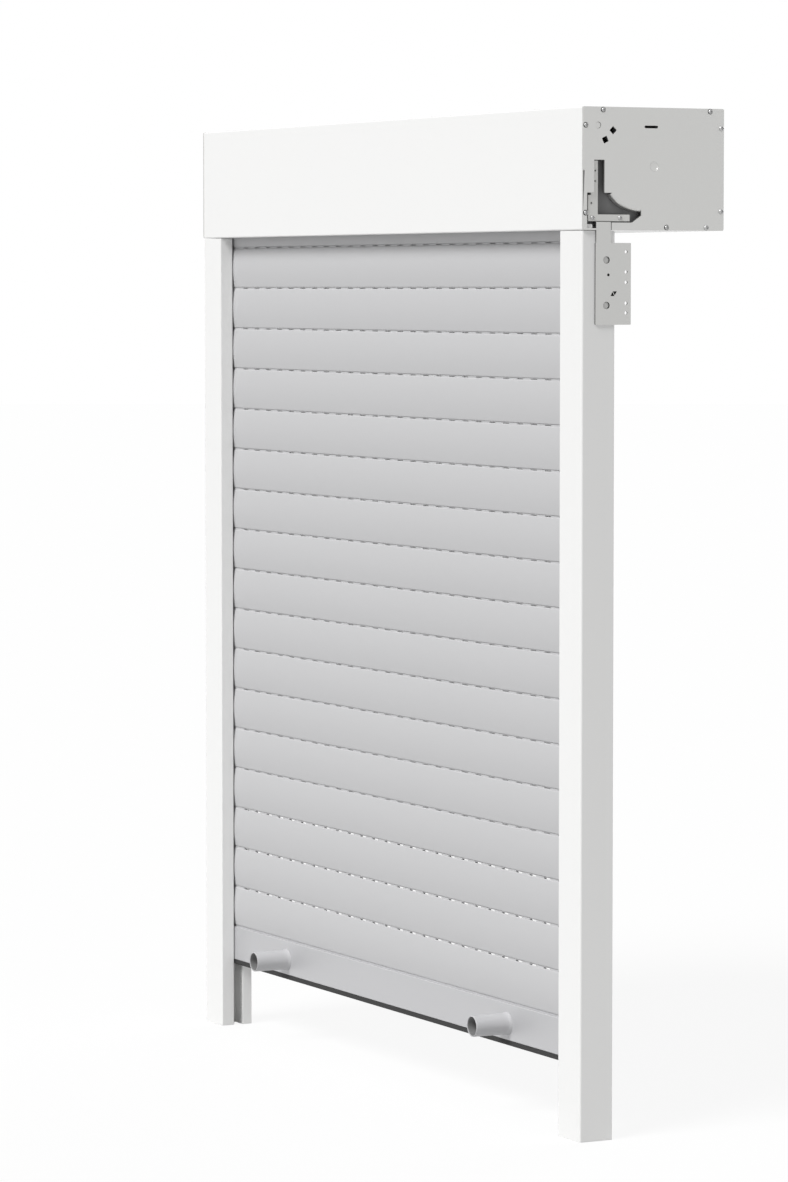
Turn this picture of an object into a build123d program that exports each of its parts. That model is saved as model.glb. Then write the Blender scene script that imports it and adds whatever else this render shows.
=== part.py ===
"""Exterior roller shutter: a headbox on two guide rails, with a curtain of hooked slats.

Millimetres. X runs along the window, Y from the outside towards the window, Z up.
The origin is on the window plane (the rear faces of the rails), midway between the
rails, at the level of their feet.
"""
from build123d import *
import math
import os

os.makedirs("parts", exist_ok=True)

# Overall sizes
overall_width = 1200.0
rail_height = 1235.0
box_height = 165.0
box_depth = 220.0
rail_width = 60.0
rail_depth = 51.0
bar_hanging_height = 96.0

# Headbox
end_plate_thickness = 3.0
panel_thickness = 8.0
panel_wall = 1.6
panel_corner_radius = 2.0
chamber_count = 5
mouth_lip_depth = 16.0
mouth_seal_depth = 3.0
mouth_seal_recess = 2.0
shaft_depth_in_box = 110.0
shaft_height_in_box = 86.0

# Features of the end plates: places are shares of the box's depth and height
top_screw_depth_shares = (0.14, 0.90)
bottom_screw_depth_shares = (0.59, 0.875)
front_screw_height_shares = (0.14, 0.85)
rear_screw_height_shares = (0.158, 0.84)
square_hole_shares = ((0.21, 0.81), (0.155, 0.733))
square_hole_size = 8.0
square_hole_turns = (45.0, 25.0)
plug_mark_shares = (0.105, 0.85)
plug_mark_radius = 4.5
plug_mark_depth = 1.0
level_slot_shares = (0.48, 0.842)
level_slot_length = 21.0
level_slot_width = 3.5
roll_window_start_shares = (0.205, 0.303)
roll_window_bend_shares = (0.286, 0.212)
roll_window_end_shares = (0.41, 0.17)
roll_window_heel_shares = (0.41, 0.12)
roll_window_toe_shares = (0.345, 0.062)
roll_window_front_share = 0.11
anchor_slot_front = 17.0
anchor_slot_width = 16.0
anchor_slot_bottom = 48.0
anchor_slot_top = 94.0
anchor_window_front = 7.5
anchor_window_width = 23.5
anchor_window_bottom = 6.0
anchor_window_top = 50.0

# Screws of the end plates
screw_head_radius = 3.6
screw_head_height = 2.2
screw_shank_radius = 1.7
screw_grip = 20.0
screw_clearance = 0.15
screw_recess_width = 1.2
screw_recess_depth = 1.2

# Dimple of the end plates at the shaft's axis
dimple_radius = 5.0
dimple_depth = 0.9

# Guide rails
rail_wall = 2.5
rail_corner_radius = 2.5
slot_front_wall = 20.0
slot_width = 15.5
slot_depth = 28.0
foot_thickness = 2.0
foot_peg_height = 8.0
foot_peg_clearance = 0.3
seal_width = 5.0
seal_set_back = 1.5
seal_root = 1.2
seal_stand_out = 1.2
funnel_height = 40.0
funnel_front_gap = 0.3
funnel_rear_wall = 5.0
funnel_flare_rear = 5.5
funnel_flare_front = 1.5
funnel_inner_set_back = 8.0
funnel_outer_gap = 8.0
guard_thickness = 2.0
guard_front = 8.5
guard_rear = 92.0
guard_bottom = 8.5
guard_top = 52.0
guard_post_rear = 37.0
guard_post_top = 97.0

# Steel brackets that join the rails to the box and the window
bracket_thickness = 2.0
bracket_front = 20.0
bracket_rear_flange = 24.0
bracket_top_drop = 17.0
bracket_height = 110.0
tongue_front = 21.0
tongue_width = 23.0
tongue_rise = 11.5
tongue_clearance = 0.5
hook_reach = 8.0
rivet_hole_radius = 5.0
rivet_hole_depth = 37.0
rivet_drops = (40.0, 101.0)
pilot_hole_radius = 2.0
pilot_hole_place = (40.0, 60.0)
notch_places = ((46.0, 86.5), (50.5, 83.0))
notch_size = 2.6
notch_turns = (90.0, 30.0)
window_hole_radius = 2.25
window_hole_set_back = 7.5
window_hole_drops = (29.0, 56.0, 70.0, 98.0, 111.0)
rivet_head_radius = 4.2
rivet_head_height = 1.4
anchor_thickness = 2.0
anchor_front = 9.5
anchor_leg_width = 13.5
anchor_leg_top = 47.0
anchor_strip_front = 14.0
anchor_strip_width = 10.5
anchor_strip_top = 93.0
anchor_bottom = 12.0
anchor_foot_height = 9.0
anchor_foot_rear = 74.0
anchor_hole_radius = 1.3
anchor_hole_places = ((14.5, 36.0), (20.5, 65.5), (20.5, 79.5))
anchor_screw_places = ((16.5, 16.5), (59.0, 16.5))
anchor_screw_radius = 3.0
anchor_screw_height = 2.0

# Curtain
slat_count = 18
pitches_in_opening = 18.224
slat_gap = 2.5
slat_depth = 12.0
slat_end_depth = 8.5
slat_wall = 1.2
slat_edge_radius = 1.2
slat_engagement = 22.0
tongue_height = 14.0
tongue_thickness = 1.6
tongue_head_width = 5.0
tongue_head_height = 2.0
tongue_slit_width = 3.2
light_slot_height = 5.0
light_slot_count = 26
light_slot_spaces = 27.65
light_slot_share = 0.5
light_slot_lift = 0.3
bar_wall = 1.5
seal_height = 8.0
seal_depth = 10.0
seal_neck_width = 3.0
seal_neck_clearance = 0.2
seal_bead_width = 7.0
seal_bead_height = 2.5
glider_length = 6.0
glider_depth = 13.5
stopper_spacing = 704.0
stopper_radius = 15.0
stopper_bore_radius = 12.0
stopper_length = 56.0
stopper_floor = 4.0
stopper_collar_radius = 16.5
stopper_collar_length = 2.5
stopper_screw_head_radius = 4.5
stopper_screw_head_height = 3.0
stopper_screw_shank_radius = 2.0
stopper_screw_grip = 6.0
stopper_screw_clearance = 0.15

# Winding gear
shaft_sides = 8
shaft_across_flats = 60.0
shaft_wall = 0.9
shaft_left_gap = 45.0
shaft_right_gap = 49.0
shaft_insert_clearance = 0.1
motor_radius = 22.5
motor_length = 480.0
motor_head_radius = 27.0
motor_head_length = 20.0
motor_bracket_radius = 38.0
bracket_plate_thickness = 6.0
square_stub_size = 10.0
square_stub_clearance = 0.1
spigot_radius = 5.0
spigot_clearance = 0.1
running_clearance = 0.06
crown_plug_length = 28.0
crown_flange_length = 4.0
crown_flange_radius = 31.0
spindle_radius = 6.0
spindle_length = 30.0
spindle_bore_depth = 12.0
drive_wheel_length = 15.0
drive_wheel_gap = 1.0
idler_plug_length = 40.0
idler_flange_length = 3.0
idler_pin_radius = 6.0
idler_pin_end_gap = 0.3
bearing_radius = 14.0
bearing_length = 12.0
bearing_cup_wall = 3.0
strap_width = 22.0
strap_thickness = 0.8
strap_positions_shares = (-0.3, 0.0, 0.3)
strap_seat_gap = 0.3
strap_bend_radius = 20.0
strap_drop = 16.0

# Cuts run past the faces that they open by this much
overrun = 5.0

# Places worked out from the sizes above
corner = (Align.MIN, Align.MIN)
sides = {"left": -1, "right": 1}
half_width = overall_width / 2
inner_half_width = half_width - end_plate_thickness
box_front_y = -rail_depth
box_rear_y = box_front_y + box_depth
box_bottom_z = rail_height
box_top_z = box_bottom_z + box_height
panel_middle = panel_thickness / 2
rail_inner_x = inner_half_width - rail_width
rail_middle_x = inner_half_width - rail_width / 2
slot_front_y = -rail_depth + slot_front_wall
slot_rear_y = slot_front_y + slot_width
curtain_y = (slot_front_y + slot_rear_y) / 2
slat_rear_y = curtain_y + slat_depth / 2
slat_front_y = curtain_y - slat_depth / 2
tongue_y = slat_rear_y - slat_end_depth / 2
slat_pitch = (rail_height - bar_hanging_height) / pitches_in_opening
slat_half_length = rail_inner_x + slat_engagement
slat_body_height = slat_pitch - slat_gap
bar_half_length = slat_half_length - glider_length
light_slot_pitch = 2 * bar_half_length / light_slot_spaces
light_slot_length = light_slot_pitch * light_slot_share
axis_y = box_front_y + shaft_depth_in_box
axis_z = box_bottom_z + shaft_height_in_box
flat_turn = 180 / shaft_sides


def on_plate(depth_share, height_share):
    """The point of an end plate at these shares of the box's depth and height."""
    return (box_front_y + depth_share * box_depth, box_bottom_z + height_share * box_height)


def chamber_size(length):
    """The size of each hollow chamber where chamber_count of them share a length."""
    return (length - (chamber_count + 1) * panel_wall) / chamber_count


top_screws = [(on_plate(share, 0)[0], box_top_z - panel_middle) for share in top_screw_depth_shares]
bottom_screws = [
    (on_plate(share, 0)[0], box_bottom_z + panel_middle) for share in bottom_screw_depth_shares
]
front_screws = [(box_front_y + panel_middle, on_plate(0, share)[1]) for share in front_screw_height_shares]
rear_screws = [(box_rear_y - panel_middle, on_plate(0, share)[1]) for share in rear_screw_height_shares]
screw_hole_radius = screw_shank_radius + screw_clearance


def cut_screw_holes(places):
    """Cut blind holes for the end plates' screws into both ends of a panel."""
    for side in sides.values():
        with BuildSketch(Plane.YZ.offset(side * inner_half_width)) as holes:
            with Locations(*places):
                Circle(screw_hole_radius)
        extrude(holes.sketch, amount=-side * (screw_grip + overrun), mode=Mode.SUBTRACT)


# Front panel, with the lip that closes the box's mouth from the front
front_chamber = chamber_size(box_height - panel_thickness)
with BuildPart() as front_panel:
    with BuildSketch(Plane.YZ) as panel_section:
        with Locations((box_front_y, box_bottom_z)):
            Rectangle(panel_thickness, box_height, align=corner)
            Rectangle(mouth_lip_depth, panel_thickness, align=corner)
        fillet(panel_section.vertices().group_by(Axis.X)[0], radius=panel_corner_radius)
        with Locations((box_front_y + panel_middle, (box_bottom_z + panel_thickness + box_top_z) / 2)):
            with GridLocations(panel_thickness, front_chamber + panel_wall, 1, chamber_count):
                Rectangle(panel_thickness - 2 * panel_wall, front_chamber, mode=Mode.SUBTRACT)
    extrude(amount=inner_half_width, both=True)
    cut_screw_holes(front_screws)
front_panel.part.label = "front_panel"
export_step(front_panel.part, "parts/front_panel.step")

# Rear panel, on the room side
rear_chamber = chamber_size(box_height)
with BuildPart() as rear_panel:
    with BuildSketch(Plane.YZ) as panel_section:
        with Locations((box_rear_y - panel_middle, (box_bottom_z + box_top_z) / 2)):
            Rectangle(panel_thickness, box_height)
        fillet(panel_section.vertices().group_by(Axis.X)[-1], radius=panel_corner_radius)
        with Locations((box_rear_y - panel_middle, (box_bottom_z + box_top_z) / 2)):
            with GridLocations(panel_thickness, rear_chamber + panel_wall, 1, chamber_count):
                Rectangle(panel_thickness - 2 * panel_wall, rear_chamber, mode=Mode.SUBTRACT)
    extrude(amount=inner_half_width, both=True)
    cut_screw_holes(rear_screws)
rear_panel.part.label = "rear_panel"
export_step(rear_panel.part, "parts/rear_panel.step")

# Top panel, between the front and rear panels
top_length = box_depth - 2 * panel_thickness
top_chamber = chamber_size(top_length)
with BuildPart() as top_panel:
    with BuildSketch(Plane.YZ):
        with Locations(((box_front_y + box_rear_y) / 2, box_top_z - panel_middle)):
            Rectangle(top_length, panel_thickness)
            with GridLocations(top_chamber + panel_wall, panel_thickness, chamber_count, 1):
                Rectangle(top_chamber, panel_thickness - 2 * panel_wall, mode=Mode.SUBTRACT)
    extrude(amount=inner_half_width, both=True)
    cut_screw_holes(top_screws)
top_panel.part.label = "top_panel"
export_step(top_panel.part, "parts/top_panel.step")

# Bottom panel, from the window plane back to the rear panel: it stands on the window frame
bottom_length = box_rear_y - panel_thickness
bottom_chamber = chamber_size(bottom_length)
with BuildPart() as bottom_panel:
    with BuildSketch(Plane.YZ):
        with Locations((bottom_length / 2, box_bottom_z + panel_middle)):
            Rectangle(bottom_length, panel_thickness)
            with GridLocations(bottom_chamber + panel_wall, panel_thickness, chamber_count, 1):
                Rectangle(bottom_chamber, panel_thickness - 2 * panel_wall, mode=Mode.SUBTRACT)
    extrude(amount=inner_half_width, both=True)
    cut_screw_holes(bottom_screws)
bottom_panel.part.label = "bottom_panel"
export_step(bottom_panel.part, "parts/bottom_panel.step")

# Brush strip behind the mouth's lip
with BuildPart() as mouth_seal:
    with BuildSketch(Plane.YZ):
        with Locations((box_front_y + mouth_lip_depth, box_bottom_z + mouth_seal_recess)):
            Rectangle(mouth_seal_depth, panel_thickness - mouth_seal_recess, align=corner)
    extrude(amount=rail_inner_x, both=True)
mouth_seal.part.label = "mouth_seal"
export_step(mouth_seal.part, "parts/mouth_seal.step")

# End plates: sheet metal with the openings for the rail's bracket and a window on the roll
all_screws = top_screws + bottom_screws + front_screws + rear_screws
end_plate_middle_x = half_width - end_plate_thickness / 2
plate_through = end_plate_thickness + overrun
for side_name, side in sides.items():
    with BuildPart() as end_plate:
        with BuildSketch(Plane.YZ.offset(side * end_plate_middle_x)):
            with Locations((box_front_y, box_bottom_z)):
                RectangleRounded(box_depth, box_height, panel_corner_radius, align=corner)
        extrude(amount=end_plate_thickness / 2, both=True)
        with BuildSketch(Plane.YZ.offset(side * end_plate_middle_x)):
            with Locations(*all_screws):
                Circle(screw_hole_radius)
            for place, turn in zip(square_hole_shares, square_hole_turns):
                with Locations(Location((*on_plate(*place), 0), (0, 0, turn))):
                    Rectangle(square_hole_size, square_hole_size)
            with Locations(on_plate(*level_slot_shares)):
                SlotOverall(level_slot_length, level_slot_width)
            with Locations((box_front_y + anchor_slot_front, box_bottom_z + anchor_slot_bottom)):
                Rectangle(anchor_slot_width, anchor_slot_top - anchor_slot_bottom, align=corner)
            with Locations((box_front_y + anchor_window_front, box_bottom_z + anchor_window_bottom)):
                Rectangle(anchor_window_width, anchor_window_top - anchor_window_bottom, align=corner)
            with Locations((box_front_y + tongue_front - tongue_clearance, box_bottom_z - overrun)):
                Rectangle(
                    tongue_width + 2 * tongue_clearance,
                    overrun + tongue_rise + tongue_clearance,
                    align=corner,
                )
            with BuildLine():
                window_top = Line(
                    on_plate(roll_window_front_share, roll_window_start_shares[1]),
                    on_plate(*roll_window_start_shares),
                )
                window_arc = ThreePointArc(
                    window_top @ 1,
                    on_plate(*roll_window_bend_shares),
                    on_plate(*roll_window_end_shares),
                )
                Polyline(
                    window_arc @ 1,
                    on_plate(*roll_window_heel_shares),
                    on_plate(*roll_window_toe_shares),
                    on_plate(roll_window_front_share, roll_window_toe_shares[1]),
                    window_top @ 0,
                )
            make_face()
        extrude(amount=plate_through, both=True, mode=Mode.SUBTRACT)
        with BuildSketch(Plane.YZ.offset(side * half_width)):
            with Locations(on_plate(*plug_mark_shares)):
                Circle(plug_mark_radius)
        extrude(amount=-side * plug_mark_depth, mode=Mode.SUBTRACT)
        with BuildSketch(Plane.YZ.offset(side * half_width)):
            with Locations((axis_y, axis_z)):
                Circle(dimple_radius)
        extrude(amount=-side * dimple_depth, mode=Mode.SUBTRACT)
        with BuildSketch(Plane.YZ.offset(side * inner_half_width)):
            with Locations((axis_y, axis_z)):
                Circle(spigot_radius + spigot_clearance)
        extrude(amount=side * (end_plate_thickness / 2 + spigot_clearance), mode=Mode.SUBTRACT)
    end_plate.part.label = f"end_plate_{side_name}"
    export_step(end_plate.part, f"parts/end_plate_{side_name}.step")

# Screws that hold the end plates to the panels
with BuildPart() as end_plate_screws:
    for side in sides.values():
        with BuildSketch(Plane.YZ.offset(side * half_width)):
            with Locations(*all_screws):
                Circle(screw_head_radius)
        extrude(amount=side * screw_head_height)
        with BuildSketch(Plane.YZ.offset(side * half_width)):
            with Locations(*all_screws):
                Circle(screw_shank_radius)
        extrude(amount=-side * screw_grip)
        with BuildSketch(Plane.YZ.offset(side * (half_width + screw_head_height))):
            with Locations(*all_screws):
                Rectangle(screw_head_radius, screw_recess_width)
                Rectangle(screw_recess_width, screw_head_radius)
        extrude(amount=-side * screw_recess_depth, mode=Mode.SUBTRACT)
end_plate_screws.part.label = "end_plate_screws"
export_step(end_plate_screws.part, "parts/end_plate_screws.step")

# Holes of the brackets and the anchors, as points in Y and Z
rivet_y = box_front_y + rivet_hole_depth
rivet_places = [(rivet_y, box_bottom_z - drop) for drop in rivet_drops]
window_hole_y = bracket_rear_flange - window_hole_set_back
window_hole_places = [(window_hole_y, box_bottom_z - drop) for drop in window_hole_drops]
anchor_hole_points = [(box_front_y + place[0], box_bottom_z + place[1]) for place in anchor_hole_places]
anchor_screw_points = [
    (box_front_y + place[0], box_bottom_z + place[1]) for place in anchor_screw_places
]

# Guide rails: hollow profiles with a slot for the slats' ends
rail_clear_width = rail_width - 2 * rail_wall
front_chamber_depth = slot_front_wall - 2 * rail_wall
rear_wall_depth = -slot_rear_y
rear_chamber_depth = rear_wall_depth - 2 * rail_wall
outer_chamber_width = rail_width - slot_depth - 2 * rail_wall
outer_chamber_x = inner_half_width - rail_wall - outer_chamber_width / 2
front_chamber_y = -rail_depth + rail_wall + front_chamber_depth / 2
rear_chamber_y = -rail_wall - rear_chamber_depth / 2
rail_chambers = (
    (rail_middle_x, front_chamber_y, rail_clear_width, front_chamber_depth),
    (rail_middle_x, rear_chamber_y, rail_clear_width, rear_chamber_depth),
    (outer_chamber_x, curtain_y, outer_chamber_width, slot_width),
)
slot_middle_x = rail_inner_x + slot_depth / 2
seal_x = rail_inner_x + seal_set_back + seal_width / 2
for side_name, side in sides.items():
    with BuildPart() as guide_rail:
        with BuildSketch(Plane.XY.offset(foot_thickness)):
            with Locations((side * rail_middle_x, -rail_depth / 2)):
                RectangleRounded(rail_width, rail_depth, rail_corner_radius)
            with Locations((side * slot_middle_x, curtain_y)):
                Rectangle(slot_depth, slot_width, mode=Mode.SUBTRACT)
            with Locations((side * seal_x, curtain_y)):
                Rectangle(seal_width, slot_width + 2 * seal_root, mode=Mode.SUBTRACT)
            for chamber_x, chamber_y, chamber_width, chamber_depth in rail_chambers:
                with Locations((side * chamber_x, chamber_y)):
                    Rectangle(chamber_width, chamber_depth, mode=Mode.SUBTRACT)
        extrude(amount=rail_height - foot_thickness)
    guide_rail.part.label = f"guide_rail_{side_name}"
    export_step(guide_rail.part, f"parts/guide_rail_{side_name}.step")

    # The two brush strips in the slot's walls
    with BuildPart() as rail_seals:
        with BuildSketch(Plane.XY.offset(foot_thickness)):
            with Locations((side * seal_x, curtain_y)):
                Rectangle(seal_width, slot_width + 2 * seal_root)
                Rectangle(seal_width, slot_width - 2 * seal_stand_out, mode=Mode.SUBTRACT)
        extrude(amount=rail_height - foot_thickness)
    rail_seals.part.label = f"rail_seals_{side_name}"
    export_step(rail_seals.part, f"parts/rail_seals_{side_name}.step")

    # Plastic foot that closes the rail's chambers at the sill
    with BuildPart() as rail_foot:
        with BuildSketch(Plane.XY):
            with Locations((side * rail_middle_x, -rail_depth / 2)):
                RectangleRounded(rail_width, rail_depth, rail_corner_radius)
            with Locations((side * slot_middle_x, curtain_y)):
                Rectangle(slot_depth, slot_width, mode=Mode.SUBTRACT)
        extrude(amount=foot_thickness)
        with BuildSketch(Plane.XY.offset(foot_thickness)):
            for chamber_x, chamber_y, chamber_width, chamber_depth in rail_chambers:
                with Locations((side * chamber_x, chamber_y)):
                    Rectangle(
                        chamber_width - 2 * foot_peg_clearance,
                        chamber_depth - 2 * foot_peg_clearance,
                    )
        extrude(amount=foot_peg_height)
    rail_foot.part.label = f"rail_foot_{side_name}"
    export_step(rail_foot.part, f"parts/rail_foot_{side_name}.step")

    # Inlet funnel on top of the rail, inside the box, with a guard that keeps the roll off the
    # end plate's openings
    funnel_front_y = box_front_y + mouth_lip_depth + funnel_front_gap
    funnel_rear_y = slot_rear_y + funnel_flare_rear + funnel_rear_wall
    funnel_inner_x = rail_inner_x + funnel_inner_set_back
    funnel_outer_x = inner_half_width - funnel_outer_gap
    funnel_length = funnel_outer_x - funnel_inner_x
    funnel_middle_x = (funnel_outer_x + funnel_inner_x) / 2
    throat_length = slot_depth - funnel_inner_set_back + overrun
    with BuildPart() as inlet_funnel:
        with BuildSketch(Plane.XY.offset(box_bottom_z)):
            with Locations((side * funnel_middle_x, (funnel_front_y + funnel_rear_y) / 2)):
                Rectangle(funnel_length, funnel_rear_y - funnel_front_y)
        extrude(amount=funnel_height)
        with BuildSketch(Plane.YZ.offset(side * (rail_inner_x + slot_depth))):
            with BuildLine():
                Polyline(
                    (slot_front_y, box_bottom_z),
                    (slot_rear_y, box_bottom_z),
                    (slot_rear_y + funnel_flare_rear, box_bottom_z + funnel_height),
                    (slot_front_y - funnel_flare_front, box_bottom_z + funnel_height),
                    close=True,
                )
            make_face()
        extrude(amount=-side * throat_length, mode=Mode.SUBTRACT)
        with BuildSketch(Plane.YZ.offset(side * funnel_outer_x)):
            with Locations((box_front_y + guard_front, box_bottom_z + guard_bottom)):
                Rectangle(guard_rear - guard_front, guard_top - guard_bottom, align=corner)
                Rectangle(guard_post_rear - guard_front, guard_post_top - guard_bottom, align=corner)
        extrude(amount=-side * guard_thickness)
    inlet_funnel.part.label = f"inlet_funnel_{side_name}"
    export_step(inlet_funnel.part, f"parts/inlet_funnel_{side_name}.step")

    # Steel bracket on the rail's outer side: its flange is screwed to the window frame,
    # and its tongue hooks under the anchor in the box
    bracket_x = inner_half_width + bracket_thickness / 2
    bracket_top_z = box_bottom_z - bracket_top_drop
    bracket_width = rail_depth - bracket_front + bracket_rear_flange
    with BuildPart() as rail_bracket:
        with BuildSketch(Plane.YZ.offset(side * bracket_x)):
            with Locations((box_front_y + bracket_front, bracket_top_z - bracket_height)):
                Rectangle(bracket_width, bracket_height, align=corner)
            with Locations((box_front_y + tongue_front, bracket_top_z)):
                Rectangle(tongue_width, bracket_top_drop + tongue_rise, align=corner)
            with Locations(*rivet_places):
                Circle(rivet_hole_radius, mode=Mode.SUBTRACT)
            with Locations((box_front_y + pilot_hole_place[0], box_bottom_z - pilot_hole_place[1])):
                Circle(pilot_hole_radius, mode=Mode.SUBTRACT)
            with Locations(*window_hole_places):
                Circle(window_hole_radius, mode=Mode.SUBTRACT)
            for place, turn in zip(notch_places, notch_turns):
                notch_middle = (box_front_y + place[0], box_bottom_z - place[1], 0)
                with Locations(Location(notch_middle, (0, 0, turn))):
                    RegularPolygon(notch_size, 3, mode=Mode.SUBTRACT)
        extrude(amount=bracket_thickness / 2, both=True)
        hook_length = hook_reach + bracket_thickness
        with BuildSketch(Plane.XY.offset(box_bottom_z + tongue_rise)):
            with Locations(
                (
                    side * (inner_half_width + bracket_thickness - hook_length / 2),
                    box_front_y + tongue_front + tongue_width / 2,
                )
            ):
                Rectangle(hook_length, tongue_width)
        extrude(amount=-bracket_thickness)
    rail_bracket.part.label = f"rail_bracket_{side_name}"
    export_step(rail_bracket.part, f"parts/rail_bracket_{side_name}.step")

    # Anchor: a steel strip on the inner face of the end plate, with a leg and a foot
    anchor_x = inner_half_width - anchor_thickness / 2
    with BuildPart() as box_anchor:
        with BuildSketch(Plane.YZ.offset(side * anchor_x)):
            with Locations((box_front_y + anchor_front, box_bottom_z + anchor_bottom)):
                Rectangle(anchor_leg_width, anchor_leg_top - anchor_bottom, align=corner)
                Rectangle(anchor_foot_rear - anchor_front, anchor_foot_height, align=corner)
            with Locations((box_front_y + anchor_strip_front, box_bottom_z + anchor_bottom)):
                Rectangle(anchor_strip_width, anchor_strip_top - anchor_bottom, align=corner)
            with Locations(*anchor_hole_points):
                Circle(anchor_hole_radius, mode=Mode.SUBTRACT)
        extrude(amount=anchor_thickness / 2, both=True)
    box_anchor.part.label = f"box_anchor_{side_name}"
    export_step(box_anchor.part, f"parts/box_anchor_{side_name}.step")

# Rivet heads in the brackets' large holes, on the rails' outer walls
with BuildPart() as bracket_rivets:
    for side in sides.values():
        with BuildSketch(Plane.YZ.offset(side * inner_half_width)):
            with Locations(*rivet_places):
                Circle(rivet_head_radius)
        extrude(amount=side * rivet_head_height)
bracket_rivets.part.label = "bracket_rivets"
export_step(bracket_rivets.part, "parts/bracket_rivets.step")

# Screws on the anchors
with BuildPart() as anchor_screws:
    for side in sides.values():
        with BuildSketch(Plane.YZ.offset(side * inner_half_width)):
            with Locations(*anchor_screw_points):
                Circle(anchor_screw_radius)
        extrude(amount=side * anchor_screw_height)
        with BuildSketch(Plane.YZ.offset(side * (inner_half_width + anchor_screw_height))):
            with Locations(*anchor_screw_points):
                Rectangle(anchor_screw_radius, screw_recess_width)
                Rectangle(screw_recess_width, anchor_screw_radius)
        extrude(amount=-side * screw_recess_depth, mode=Mode.SUBTRACT)
anchor_screws.part.label = "anchor_screws"
export_step(anchor_screws.part, "parts/anchor_screws.step")


def slat_outline(bottom_z, height, inset):
    """Outline of a slat's body: a flat back and a front that bows outwards, drawn in by inset."""
    low = bottom_z + inset
    high = bottom_z + height - inset
    back = slat_rear_y - inset
    front_edge = slat_rear_y - slat_end_depth + inset
    with BuildLine() as outline:
        bow = (slat_front_y + inset, (low + high) / 2)
        front = ThreePointArc((front_edge, high), bow, (front_edge, low))
        Polyline(front @ 1, (back, low), (back, high), front @ 0)
    make_face(outline.edges())


def add_tongue(body_top_z):
    """Add the tongue that hooks into the slat above, with its row of light slots."""
    with BuildSketch(Plane.YZ) as tongue:
        with Locations((tongue_y, body_top_z - slat_wall / 2)):
            Rectangle(tongue_thickness, tongue_height + slat_wall / 2, align=(Align.CENTER, Align.MIN))
        with Locations((tongue_y, body_top_z + tongue_height)):
            Rectangle(tongue_head_width, tongue_head_height, align=(Align.CENTER, Align.MAX))
    extrude(tongue.sketch, amount=bar_half_length, both=True)
    with BuildSketch(Plane.XZ.offset(-tongue_y)) as light_slots:
        with Locations((0, body_top_z + light_slot_lift + light_slot_height / 2)):
            with GridLocations(light_slot_pitch, slat_pitch, light_slot_count, 1):
                Rectangle(light_slot_length, light_slot_height)
    extrude(light_slots.sketch, amount=tongue_thickness, both=True, mode=Mode.SUBTRACT)


# Slats, from the lowest to the highest
for number in range(1, slat_count + 1):
    slat_bottom_z = bar_hanging_height + number * slat_pitch
    with BuildPart() as slat:
        with BuildSketch(Plane.YZ) as slat_section:
            slat_outline(slat_bottom_z, slat_body_height, 0)
            fillet(slat_section.vertices(), radius=slat_edge_radius)
        extrude(amount=slat_half_length, both=True)
        with BuildSketch(Plane.YZ):
            slat_outline(slat_bottom_z, slat_body_height, slat_wall)
            with Locations((tongue_y, slat_bottom_z)):
                Rectangle(tongue_slit_width, 2 * slat_wall)
        extrude(amount=slat_half_length, both=True, mode=Mode.SUBTRACT)
        add_tongue(slat_bottom_z + slat_body_height)
    slat.part.label = f"slat_{number:02d}"
    export_step(slat.part, f"parts/slat_{number:02d}.step")

# Bottom bar: a hollow flat profile with a channel for its seal
bar_bottom_z = bar_hanging_height + seal_height
bar_height = slat_pitch - seal_height - slat_gap
bar_middle_z = bar_bottom_z + bar_height / 2
seal_neck_height = bar_wall
stopper_z = bar_hanging_height + slat_pitch / 2
stopper_places = [(-stopper_spacing / 2, stopper_z), (stopper_spacing / 2, stopper_z)]
with BuildPart() as bottom_bar:
    with BuildSketch(Plane.YZ) as bar_section:
        with Locations((curtain_y, bar_middle_z)):
            Rectangle(slat_depth, bar_height)
        fillet(bar_section.vertices(), radius=slat_edge_radius)
        with Locations((curtain_y, bar_middle_z)):
            Rectangle(slat_depth - 2 * bar_wall, bar_height - 2 * bar_wall, mode=Mode.SUBTRACT)
        with Locations((curtain_y, bar_bottom_z)):
            Rectangle(seal_neck_width + 2 * seal_neck_clearance, 2 * bar_wall + overrun, mode=Mode.SUBTRACT)
    extrude(amount=bar_half_length, both=True)
    add_tongue(bar_bottom_z + bar_height)
    with BuildSketch(Plane.XZ.offset(-slat_front_y)):
        with Locations(*stopper_places):
            Circle(stopper_screw_shank_radius + stopper_screw_clearance)
    extrude(amount=bar_wall + overrun / 2, both=True, mode=Mode.SUBTRACT)
bottom_bar.part.label = "bottom_bar"
export_step(bottom_bar.part, "parts/bottom_bar.step")

# Rubber seal under the bar, held in its channel
with BuildPart() as bottom_seal:
    with BuildSketch(Plane.YZ) as seal_section:
        with Locations((curtain_y, bar_hanging_height)):
            Rectangle(seal_depth, seal_height, align=(Align.CENTER, Align.MIN))
        fillet(seal_section.vertices().group_by(Axis.Y)[0], radius=seal_depth / 4)
        with Locations((curtain_y, bar_bottom_z)):
            Rectangle(seal_neck_width, seal_neck_height + seal_bead_height, align=(Align.CENTER, Align.MIN))
        with Locations((curtain_y, bar_bottom_z + seal_neck_height + seal_neck_clearance)):
            Rectangle(seal_bead_width, seal_bead_height, align=(Align.CENTER, Align.MIN))
    extrude(amount=bar_half_length, both=True)
bottom_seal.part.label = "bottom_seal"
export_step(bottom_seal.part, "parts/bottom_seal.step")

# Gliders on the bar's ends, which run in the rails' slots
glider_x = bar_half_length + glider_length / 2
with BuildPart() as bar_gliders:
    with BuildSketch(Plane.XZ.offset(-curtain_y)):
        with Locations((-glider_x, bar_middle_z), (glider_x, bar_middle_z)):
            RectangleRounded(glider_length, bar_height, slat_edge_radius)
    extrude(amount=glider_depth / 2, both=True)
bar_gliders.part.label = "bar_gliders"
export_step(bar_gliders.part, "parts/bar_gliders.step")

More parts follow.
